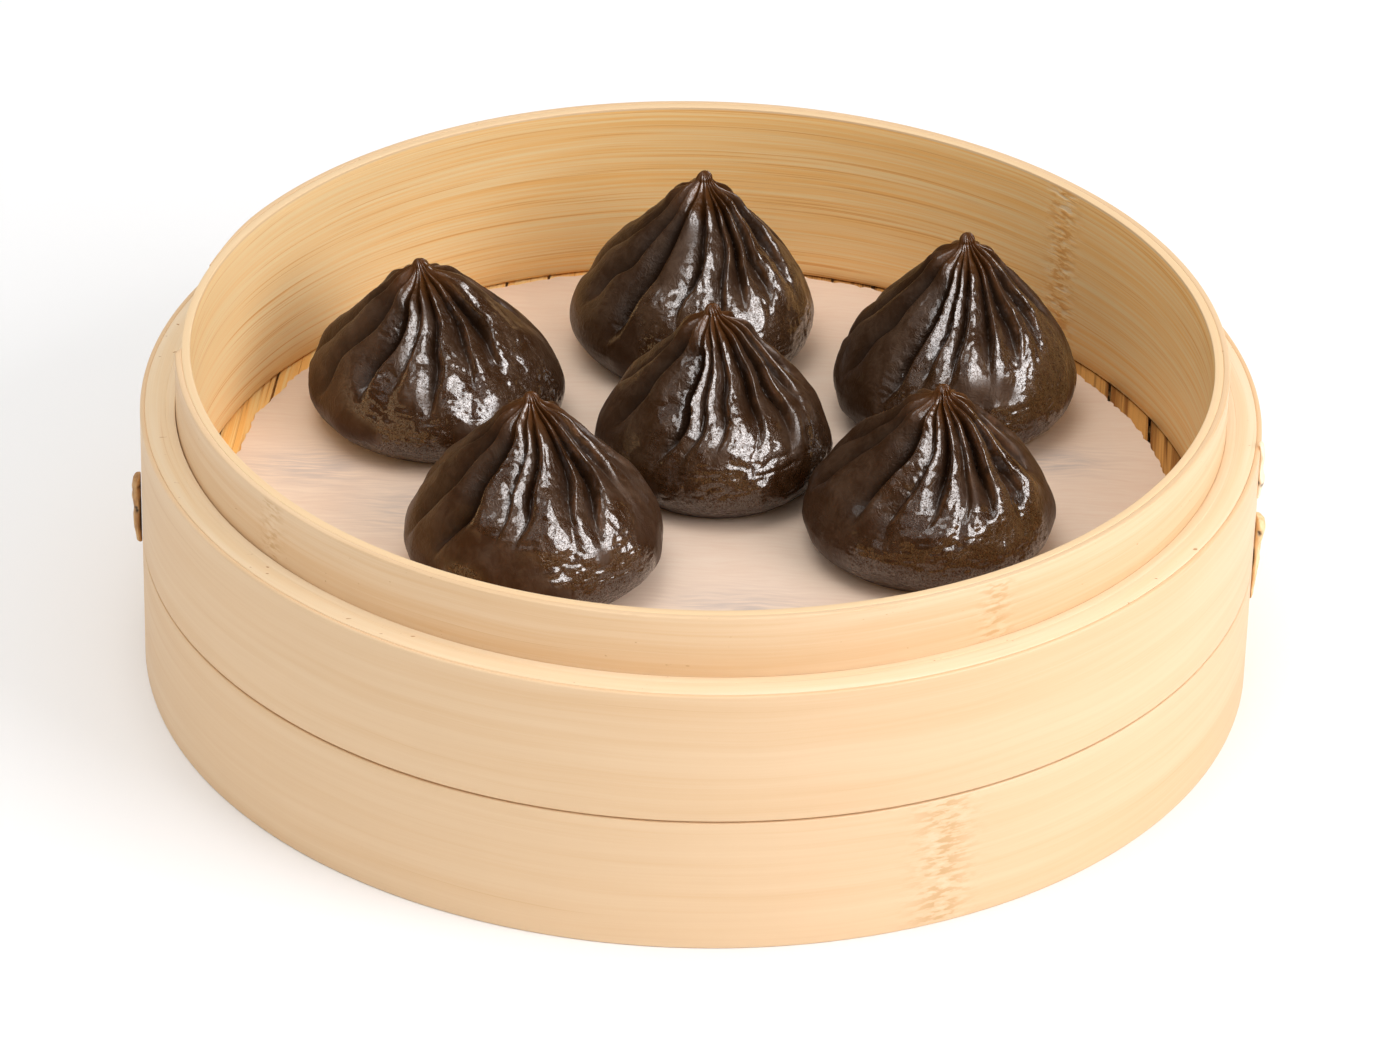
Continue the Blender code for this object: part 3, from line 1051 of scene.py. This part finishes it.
@dataclass(frozen=True)
class Dumpling:
    """A dumpling whose skin is gathered in folds that turn into one tip.

    The skin swells between two folds. Each fold is a narrow valley with a sharp edge on its right and a long
    slope on its left. The folds in front are named by azimuth and by depth, and the ones behind are drawn.
    """

    node: str
    centre: tuple[float, float]
    radius: float
    height: float
    lean: tuple[float, float]
    folds: tuple[tuple[float, float], ...]
    folds_behind: int
    seed: int
    bulges: tuple[Bulge, ...] = ()

    BASE_SHARE = 0.76
    BELLY_HEIGHT = 0.20
    DOME_POWER = 1.40
    DOME_ROUNDING = 0.15
    NECK_HEIGHT = 0.93
    NECK_SPREAD = 0.05
    NECK_PINCH = 0.29
    TIP_RADIUS = 1.6 * MM
    LONG_SIDE_DEG = 190.0
    WORN_SIDE_DEG = 292.0
    SWIRL_DEG = 35.0
    SWIRL_START = 0.75
    TIP_TWIST_DEG = 40.0
    FOLD_STEEPNESS = 0.50
    FOLD_DEEPEST = 3.0 * MM
    FOLD_START = 0.24
    FOLD_RISE = 0.28
    FOLD_EDGE = 1.0 * MM
    FOLD_SLOPE = 2.6 * MM
    PUFF = 0.06
    WIDEST_PUFF = 8 * MM
    RAISE = 0.04
    SHOULDER = 1.0 * MM
    SHOULDER_SPREAD = 0.05
    OVERLAP = 0.40
    WANDER = 0.09
    LUMP_SIZE = 11 * MM
    LUMP_HEIGHT = 0.5 * MM
    SMALL_LUMP_SIZE = 4.5 * MM
    SMALL_LUMP_HEIGHT = 0.40 * MM
    THREAD_HEIGHT = 0.25 * MM
    CREASE_HEIGHT = 0.30 * MM
    SLOPE_STEP = 0.004
    COLUMNS = 400
    ROWS = 230
    FOOT_ROWS = 10

    def skin(self, share: Rows) -> Rows:
        """Work out the radius of the unfolded skin.

        Args:
            share: Shares of the height.

        Returns:
            The radii.
        """
        drop = np.clip((self.BELLY_HEIGHT - share) / self.BELLY_HEIGHT, 0.0, 1.0)
        foot = 1 - (1 - self.BASE_SHARE) * drop**2
        climb = np.clip((share - self.BELLY_HEIGHT) / (1 - self.BELLY_HEIGHT), 0.0, 1.0)
        neck = 1 - self.NECK_PINCH * np.exp(-(((share - self.NECK_HEIGHT) / self.NECK_SPREAD) ** 2))
        least = self.DOME_ROUNDING**self.DOME_POWER
        rise = (climb**2 + self.DOME_ROUNDING**2) ** (self.DOME_POWER / 2) - least
        whole = (1 + self.DOME_ROUNDING**2) ** (self.DOME_POWER / 2) - least
        dome = self.radius * np.where(share < self.BELLY_HEIGHT, foot, (1 - rise / whole) * neck)
        above = share * self.height - (self.height - self.TIP_RADIUS)
        tip = np.sqrt(np.clip(self.TIP_RADIUS**2 - above**2, 0.0, None))
        return np.where(above > -self.TIP_RADIUS, np.maximum(dome, tip), dome)

    def swirl(self, share: Rows) -> Rows:
        """Turn of the folds at shares of the height, in radians."""
        twist = math.radians(self.TIP_TWIST_DEG) * np.exp(-(1.0 - share) / 0.05)
        return math.radians(self.SWIRL_DEG) * (share - self.SWIRL_START) - twist

    def creases(self, relief: Relief, places: Rows, share: Rows) -> Rows:
        """Work out sharp fine creases, upright near the tip and level near the foot.

        Args:
            relief: The dumpling's unevenness.
            places: Rows of x, y and z.
            share: Their shares of the height.

        Returns:
            One height for each place, where 0 is the plain skin.
        """
        level = ease((0.55 - share) / 0.25)
        total = np.zeros(len(places))
        for stretch, amount in (((1.0, 1.0, 0.5), 1.0 - level), ((0.85, 0.85, 1.1), level)):
            coarse = np.abs(relief.at(places * stretch, 2.0 * MM))
            fine = np.abs(relief.at(places * stretch + 0.2, 1.1 * MM))
            total += amount * (coarse + 0.6 * fine - 0.45)
        return total

    def draw_folds(self) -> tuple[Rows, Rows, Rows, Rows]:
        """List the folds in order round the dumpling, with the first one again at the end.

        Returns:
            Their angles from the first one, their depths, their lower ends and the shoulders right of them.
        """
        rng = random.Random(self.seed)
        azimuths, depths = map(list, zip(*self.folds))
        last = azimuths[-1]
        spacing = (azimuths[0] + 360.0 - last) / (self.folds_behind + 1)
        for number in range(1, self.folds_behind + 1):
            azimuths.append(last + spacing * (number + rng.uniform(-0.2, 0.2)))
            depths.append(rng.uniform(0.6, 1.1))
        long_side = np.cos(np.radians(np.array(azimuths) - self.LONG_SIDE_DEG))
        ends = 0.34 - 0.10 * long_side + np.array([rng.uniform(-0.06, 0.06) for _ in azimuths])
        tops = np.array([rng.uniform(0.83, 0.90) for _ in azimuths])
        angles = np.radians(np.array([*azimuths, azimuths[0] + 360.0]) - azimuths[0])
        again = [*range(len(azimuths)), 0]
        return angles, np.array(depths)[again], ends[again], tops[again]

    def build(self, bench: Workbench) -> None:
        """Make the dumpling.

        Args:
            bench: The workbench that finishes pieces.
        """
        form = rounded_skin(self.COLUMNS, self.ROWS)
        unit = points_of(form)
        row = self.ROWS * (1 - np.arccos(np.clip(unit[:, 2], -1, 1)) / math.pi)
        angle = np.arctan2(unit[:, 1], unit[:, 0])
        points, values = self.shape(row, angle)
        move_to(form, points)
        bench.piece(self.node, form, DoughFinish(), smooth_deg=80.0, values=values)

    def fold_relief(self, share: Rows, skin: Rows, turned: Rows) -> tuple[Rows, Rows, Rows]:
        """Work out the folds and the swellings between them.

        Args:
            share: Shares of the height.
            skin: Radii of the unfolded skin.
            turned: Directions from the first fold, in radians, with the swirl taken out.

        Returns:
            How far the skin stands out, the depth of the valleys and the strength of the folds' sharp edges.
        """
        angles, depths, ends, tops = self.draw_folds()
        left = np.clip(np.searchsorted(angles, turned, side="right") - 1, 0, len(angles) - 2)
        right = left + 1
        arc = (angles[right] - angles[left]) * skin + 1e-6
        past_left = (turned - angles[left]) * skin
        to_right = (angles[right] - turned) * skin
        left_depth = depths[left] * ease((share - ends[left]) / self.FOLD_RISE)
        right_depth = depths[right] * ease((share - ends[right]) / self.FOLD_RISE)
        edge = np.minimum(self.FOLD_EDGE, 0.25 * arc)
        slope = np.minimum(self.FOLD_SLOPE, 0.45 * arc)
        valley = left_depth * np.exp(-((past_left / edge) ** 1.5))
        valley = np.maximum(valley, right_depth * np.exp(-((to_right / slope) ** 1.4)))
        typical = math.tau / (len(angles) - 1) * skin
        deepest = np.minimum(self.FOLD_STEEPNESS * typical, self.FOLD_DEEPEST)
        fade = self.fold_fade(share)
        swell = np.sin(math.pi * past_left / arc)
        puff = self.PUFF * np.minimum(arc, self.WIDEST_PUFF) * swell * fade
        lift = puff + deepest * (self.RAISE * fade - valley)
        lift += self.SHOULDER * swell * np.exp(-(((share - tops[left]) / self.SHOULDER_SPREAD) ** 2))
        rim = np.exp(-(((past_left - edge) / (0.35 * edge)) ** 2)) * np.clip(left_depth, 0, 1)
        return lift, valley, rim

    def fold_fade(self, share: Rows) -> Rows:
        """Share of the folds' fullness at shares of the height."""
        return ease((share - self.FOLD_START) / self.FOLD_RISE)

    def bulge_relief(self, share: Rows, angle: Rows) -> Rows:
        """Add up the bulges.

        Args:
            share: Shares of the height.
            angle: Directions from the axis, in radians.

        Returns:
            How far the skin stands out.
        """
        lift = np.zeros_like(share)
        for bulge in self.bulges:
            aside = (angle - math.radians(bulge.azimuth_deg) + math.pi) % math.tau - math.pi
            off_side = (aside / math.radians(bulge.spread_deg)) ** 2
            off_height = ((share - bulge.share) / bulge.spread_share) ** 2
            lift += bulge.lift * np.exp(-off_side - off_height)
        return lift

    def outward(self, share: Rows) -> tuple[Rows, Rows]:
        """Work out which way the unfolded skin faces.

        Args:
            share: Shares of the height.

        Returns:
            How far out and how far up a step of 1 off the skin goes.
        """
        above = np.clip(share + self.SLOPE_STEP, 0, 1)
        below = np.clip(share - self.SLOPE_STEP, 0, 1)
        run = self.skin(above) - self.skin(below)
        rise = (above - below) * self.height
        length = np.hypot(run, rise)
        return rise / length, -run / length

    def shape(self, row: Rows, angle: Rows) -> tuple[Rows, dict[str, Rows]]:
        """Place the skin's points.

        Args:
            row: Rows counted from the middle of the underside.
            angle: Directions from the axis, in radians.

        Returns:
            The places, and the numbers that the finish reads.
        """
        climb = np.clip((row - self.FOOT_ROWS) / (self.ROWS - self.FOOT_ROWS), 0.0, 1.0)
        share = climb**0.85 * 0.4 + climb * 0.6
        skin = self.skin(share) * np.clip(row / self.FOOT_ROWS, 0.0, 1.0)
        relief = Relief(self.seed)
        rough = np.column_stack([np.cos(angle) * skin, np.sin(angle) * skin, share * self.height])
        wander = self.WANDER * relief.at(rough + 0.1, 7 * MM) * np.clip((1 - share) / 0.25, 0.0, 1.0)
        turned = (angle - math.radians(self.folds[0][0]) - self.swirl(share) + wander) % math.tau
        lift, valley, rim = self.fold_relief(share, skin, turned)
        lift += self.bulge_relief(share, angle)
        fade = self.fold_fade(share)
        crowd = np.clip(skin / (0.5 * self.radius), 0.0, 1.0)
        lumps = self.LUMP_HEIGHT * relief.at(rough, self.LUMP_SIZE)
        lumps += self.SMALL_LUMP_HEIGHT * relief.at(rough, self.SMALL_LUMP_SIZE)
        threads = relief.at(np.column_stack([np.cos(turned) * 9, np.sin(turned) * 9, share * 2.2]), 1.0)
        lift += lumps * ease(share / 0.15) * crowd + self.THREAD_HEIGHT * threads * fade * crowd
        worn = np.cos(angle - math.radians(self.WORN_SIDE_DEG))
        below_tip = ease((0.97 - share) / 0.1)
        crinkle = ease((relief.at(rough + 0.3, 7 * MM) + 0.7) / 0.6)
        crinkle *= 0.25 + 0.75 * ease((worn - 0.2) / 0.5)
        crinkle *= ease(share / 0.12) * below_tip
        lift += self.CREASE_HEIGHT * self.creases(relief, rough, share) * crinkle
        lift *= ease(row / self.FOOT_ROWS)
        skewed = angle - self.OVERLAP * lift / np.maximum(skin, 3 * MM) * fade
        out, up = self.outward(share)
        reach = skin + out * lift
        sway = share**1.3
        _, base = heights_of("paper_liner")
        _, top = heights_of(self.node)
        height = base + share * (self.height + GAP) + np.maximum(up * lift, -share * self.height)
        points = np.column_stack([
            self.centre[0] + self.lean[0] * sway + reach * np.cos(skewed),
            self.centre[1] + self.lean[1] * sway + reach * np.sin(skewed),
            np.clip(height, base, top),
        ])
        # The finish paints amber glow from the fold and tip numbers, and painted shade from the valley
        # numbers.
        values = {
            "fold": rim * below_tip,
            "valley": np.clip(valley, 0, 1),
            "tip": ease((share - 0.80) / 0.14),
            "crinkle": crinkle,
        }
        return points, values


DUMPLINGS = (
    Dumpling(
        "dumpling_left", (-53.3 * MM, 34.2 * MM), 25.8 * MM, 35.4 * MM, (-3.8 * MM, 0.3 * MM),
        ((218.0, 0.9), (246.0, 1.2), (262.0, 0.5), (281.0, 0.8), (305.0, 0.8), (328.0, 1.2), (390.0, 0.7)),
        folds_behind=6, seed=11, bulges=(Bulge(12.0, 0.80, 1.5 * MM, 40.0),),
    ),
    Dumpling(
        "dumpling_back", (-2.7 * MM, 64.4 * MM), 24.9 * MM, 38.8 * MM, (2.3 * MM, 4.4 * MM),
        ((185.0, 0.8), (215.0, 0.9), (240.0, 1.2), (272.0, 0.9), (295.0, 0.7), (309.0, 1.1), (326.0, 0.8)),
        folds_behind=7, seed=12,
    ),
    Dumpling(
        "dumpling_right", (50.8 * MM, 41.0 * MM), 24.5 * MM, 38.8 * MM, (1.9 * MM, 4.1 * MM),
        ((183.0, 0.8), (212.0, 0.9), (246.0, 1.1), (260.0, 0.7), (273.0, 0.8), (297.0, 1.0), (314.0, 1.1)),
        folds_behind=8, seed=13,
    ),
    Dumpling(
        "dumpling_centre", (3.1 * MM, 13.8 * MM), 23.6 * MM, 37.6 * MM, (-1.4 * MM, 1.2 * MM),
        ((212.0, 1.1), (253.0, 1.2), (265.0, 0.6), (280.0, 0.8), (304.0, 1.0), (328.0, 1.0), (350.0, 0.8)),
        folds_behind=7, seed=14,
    ),
    Dumpling(
        "dumpling_front_left", (-31.9 * MM, -24.6 * MM), 25.3 * MM, 38.4 * MM, (-0.9 * MM, 1.3 * MM),
        ((210.0, 0.9), (236.0, 1.2), (262.0, 0.5), (276.0, 0.9), (305.0, 0.9), (322.0, 1.1), (345.0, 0.8)),
        folds_behind=7, seed=15,
    ),
    Dumpling(
        "dumpling_front_right", (44.9 * MM, -11.6 * MM), 24.6 * MM, 36.0 * MM, (2.0 * MM, -0.3 * MM),
        ((197.0, 0.9), (235.0, 1.2), (258.0, 0.5), (275.0, 1.1), (292.0, 0.5), (309.0, 1.2), (334.0, 0.8)),
        folds_behind=7, seed=16,
    ),
)


# Ties


@dataclass
class Tie:
    """A knobby strap of cane that is laid against the wall.

    Its thickness goes from the first value at its upper end to the second at its foot. A strap with a reach
    starts that far in from the ledge's edge and turns down over it. Beads are swellings, as (share of the way
    down, half length, lift). Holes are small pits, a little narrowed and painted near black as painted shade,
    as (share of the way down, place across, from -1 at the wall to 1 outside). A dark stripe of painted
    shadow, for the shade in the gap between strap and wall, runs from one share of the way down to another.
    Both face the front.
    """

    node: str
    azimuth_deg: float
    finish: CaneFinish
    wall: float
    thickness: tuple[float, float]
    reach: float = 0.0
    width: float = 3.6 * MM
    beads: tuple[tuple[float, float, float], ...] = ()
    holes: tuple[tuple[float, float], ...] = ()
    painted_gap_shade: tuple[float, float] = (0.0, 0.0)
    seed: int = 61

    HOLE_RADIUS = 0.42 * MM
    ROUGH = 0.10
    ROWS = 90

    def course(self, along: Rows, low: float, high: float) -> tuple[Rows, Rows, Rows, Rows]:
        """Follow the strap's inner face.

        Args:
            along: Shares of the way down.
            low: The lower height.
            high: The upper height.

        Returns:
            The face's radius and height, the strap's thickness there and the tilt of its section.
        """
        top, foot = self.thickness
        thickness = top + (foot - top) * along
        if not self.reach:
            wall, level = np.full_like(along, self.wall), np.zeros_like(along)
            return wall, high + (low - high) * along, thickness, level
        travelled = along * (self.reach + high - low)
        down = np.clip(travelled - self.reach, 0.0, None)
        inward = np.clip(self.reach - travelled, 0.0, None)
        tilt = math.pi / 2 * ease((self.reach + 0.5 * MM - travelled) / MM)
        return self.wall - inward, high - thickness - down, thickness, tilt

    def build(self, bench: Workbench) -> None:
        """Make the strap.

        Args:
            bench: The workbench that finishes pieces.
        """
        form = bmesh.new()
        bmesh.ops.create_cone(form, cap_ends=True, segments=32, radius1=1.0, radius2=1.0, depth=1.0)
        bmesh.ops.subdivide_edges(form, edges=edges_along(form, 2), cuts=self.ROWS)
        unit = points_of(form)
        along = 0.5 - unit[:, 2]
        low, high = heights_of(self.node)
        length = high - low
        radius, height, thickness, tilt = self.course(along, low, high)
        for place, reach, lift in self.beads:
            thickness = thickness + lift * np.exp(-(((along - place) / reach) ** 2))
        front = -math.copysign(1.0, math.cos(math.radians(self.azimuth_deg)))
        facing = np.clip(unit[:, 1] * front, 0.0, 1.0)
        # Painted shade: near black in the holes that face the front; the same mask narrows the strap a little
        # there.
        pit = np.zeros(len(unit))
        for place, depth in self.holes:
            apart = np.hypot((along - place) * length, (unit[:, 0] - depth) * thickness / 2)
            pit = np.maximum(pit, np.exp(-((apart / self.HOLE_RADIUS) ** 2)) * facing)
        # Painted shadow along the strap's side against the wall, where the gap between strap and wall is in
        # shade.
        if self.painted_gap_shade[1]:
            inside = ease((-0.30 - unit[:, 0]) / 0.4) * ease((self.painted_gap_shade[1] - along) / 0.08)
            pit = np.maximum(pit, 0.7 * inside * ease((along - self.painted_gap_shade[0]) / 0.08))
        rough = Relief(self.seed).at(np.column_stack([unit[:, :2] * 2 * MM, along * length]), 1.3 * MM)
        cap = np.sqrt(np.clip(np.minimum(along, 1 - along) / 0.06, 0.02, 1.0))
        uneven = 1 + self.ROUGH * rough
        aside = self.width / 2 * cap * uneven * unit[:, 1] * (1 - 0.25 * pit)
        across = thickness / 2 * cap * uneven * (unit[:, 0] + 1)
        out = radius + across * np.cos(tilt)
        turn = math.radians(self.azimuth_deg)
        points = np.column_stack([
            out * math.cos(turn) - aside * math.sin(turn),
            out * math.sin(turn) + aside * math.cos(turn),
            np.clip(height + across * np.sin(tilt), low, high),
        ])
        move_to(form, points)
        bmesh.ops.recalc_face_normals(form, faces=form.faces)
        bench.piece(self.node, form, self.finish, smooth_deg=60.0, values={"pit": pit})


@dataclass
class Ties:
    """The cane lashings at both sides of the wall."""

    wall: float = 110.0 * MM + 0.1 * MM

    def build(self, bench: Workbench) -> None:
        """Make the ties.

        Args:
            bench: The workbench that finishes pieces.
        """
        brown = CaneFinish("cane_brown", "cane", (0.62, 0.36, 0.14), (0.38, 0.18, 0.06))
        pale = CaneFinish("cane_pale", "cane", (0.93, 0.68, 0.38), (0.74, 0.46, 0.20))
        cream = CaneFinish("cane_cream", "cane", (0.93, 0.80, 0.62), (0.88, 0.70, 0.48))
        ties = (
            Tie(
                "tie_left", 184.0, brown, self.wall, (1.3 * MM, 1.1 * MM),
                beads=((0.27, 0.20, 0.6 * MM), (0.68, 0.20, 0.45 * MM)),
                holes=((0.16, -0.75), (0.46, 0.35), (0.50, 0.05)), painted_gap_shade=(0.30, 0.85), seed=61,
            ),
            Tie(
                "tie_right", -4.0, pale, self.wall - 0.2 * MM, (1.6 * MM, 0.6 * MM),
                beads=((0.17, 0.12, 0.6 * MM), (0.55, 0.25, 0.35 * MM)),
                holes=((0.18, -0.1), (0.20, 0.1)), painted_gap_shade=(0.34, 0.62), seed=62,
            ),
            Tie(
                "tie_ledge", -7.0, cream, self.wall - 0.4 * MM, (0.8 * MM, 0.8 * MM), reach=0.3 * MM,
                beads=((0.24, 0.16, 0.45 * MM), (0.66, 0.16, 0.65 * MM)),
                holes=((0.70, 0.6), (0.66, -0.8)), seed=63,
            ),
        )
        for item in ties:
            item.build(bench)


# Studio


@dataclass(frozen=True)
class Lamp:
    """A square light: where it hangs, the length of its sides, its watts and its colour."""

    name: str
    place: tuple[float, float, float]
    size: float
    power: float
    colour: Colour = (1.0, 0.98, 0.97)
    only_shine: bool = False


@dataclass
class Studio:
    """A pale floor, a soft light at the right, a soft bright ceiling and the camera."""

    distance: float = 1.31548
    elevation_deg: float = 30.84
    roll_deg: float = 1.5
    target: tuple[float, float, float] = (0.37 * MM, 0.0, 26.3 * MM)
    lens: float = 170.28
    lamps: tuple[Lamp, ...] = (
        Lamp("key", (0.80, -0.46, 0.58), 0.68, 6.6, (1.0, 0.965, 0.98)),
        Lamp("overhead", (-0.28, -0.10, 1.65), 0.90, 6.6, (1.0, 1.0, 1.0)),
        Lamp("shine_right", (0.82, -0.50, 0.72), 0.95, 17.0, only_shine=True),
        Lamp("shine_above", (-0.20, -0.60, 1.40), 1.20, 2.0, only_shine=True),
    )
    horizon_strength: float = 0.49
    zenith_strength: float = 0.86

    def build(self) -> None:
        """Set up the floor, the lights and the camera."""
        self.floor()
        for lamp in self.lamps:
            self.hang(lamp)
        self.world()
        self.camera()

    def floor(self) -> None:
        """Lay the floor just under the basket."""
        form = bmesh.new()
        bmesh.ops.create_grid(form, x_segments=1, y_segments=1, size=4.0)
        mesh = bpy.data.meshes.new("studio_floor")
        form.to_mesh(mesh)
        form.free()
        graph = Graph(bpy.data.materials.new("studio_white"))
        mesh.materials.append(graph.finish((0.95, 0.95, 0.95), 0.9))
        floor = bpy.data.objects.new("studio_floor", mesh)
        floor.location.z = -0.05 * MM
        bpy.context.scene.collection.objects.link(floor)

    def hang(self, lamp: Lamp) -> None:
        """Hang a lamp that faces the basket.

        Args:
            lamp: The lamp.
        """
        data = bpy.data.lights.new(lamp.name, "AREA")
        data.shape = "SQUARE"
        data.size = lamp.size
        data.energy = lamp.power
        data.color = lamp.colour
        made = bpy.data.objects.new(lamp.name, data)
        made.location = lamp.place
        aim = Vector(self.target) - Vector(lamp.place)
        made.rotation_euler = aim.to_track_quat("-Z", "Y").to_euler()
        made.visible_diffuse = not lamp.only_shine
        bpy.context.scene.collection.objects.link(made)

    def world(self) -> None:
        """Light the room softly, and more from above than from the sides."""
        world = bpy.data.worlds.new("studio")
        graph = Graph(world, "Background")
        direction = graph.node("ShaderNodeTexCoord").outputs["Generated"]
        parts = graph.node("ShaderNodeSeparateXYZ", inputs={0: direction})
        limits = {"To Min": self.horizon_strength, "To Max": self.zenith_strength}
        rise = graph.node("ShaderNodeMapRange", inputs={"Value": parts.outputs["Z"], **limits})
        graph.feed(graph.surface.inputs["Color"], (1.0, 1.0, 1.0))
        graph.feed(graph.surface.inputs["Strength"], rise.outputs["Result"])
        world.cycles_visibility.glossy = False
        bpy.context.scene.world = world

    def camera(self) -> None:
        """Place the camera in front of the basket and above it, a little rolled."""
        data = bpy.data.cameras.new("camera")
        data.lens = self.lens
        data.sensor_width = 36.0
        data.clip_start = 0.01
        camera = bpy.data.objects.new("camera", data)
        elevation = math.radians(self.elevation_deg)
        offset = Vector((0.0, -math.cos(elevation), math.sin(elevation))) * self.distance
        place = Matrix.Translation(Vector(self.target) + offset)
        tilt = Matrix.Rotation(math.pi / 2 - elevation, 4, "X")
        camera.matrix_world = place @ tilt @ Matrix.Rotation(math.radians(self.roll_deg), 4, "Z")
        bpy.context.scene.collection.objects.link(camera)
        bpy.context.scene.camera = camera


def main() -> None:
    """Build every piece, then the studio."""
    logging.basicConfig(level=logging.INFO, format="%(name)s: %(message)s")
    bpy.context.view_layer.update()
    bpy.context.scene.view_settings.view_transform = "Standard"
    bench = Workbench()
    Wall().build(bench)
    SlatFloor().build(bench)
    PaperLiner().build(bench)
    for dumpling in DUMPLINGS:
        dumpling.build(bench)
    Ties().build(bench)
    Studio().build()


if __name__ == "__main__":
    main()
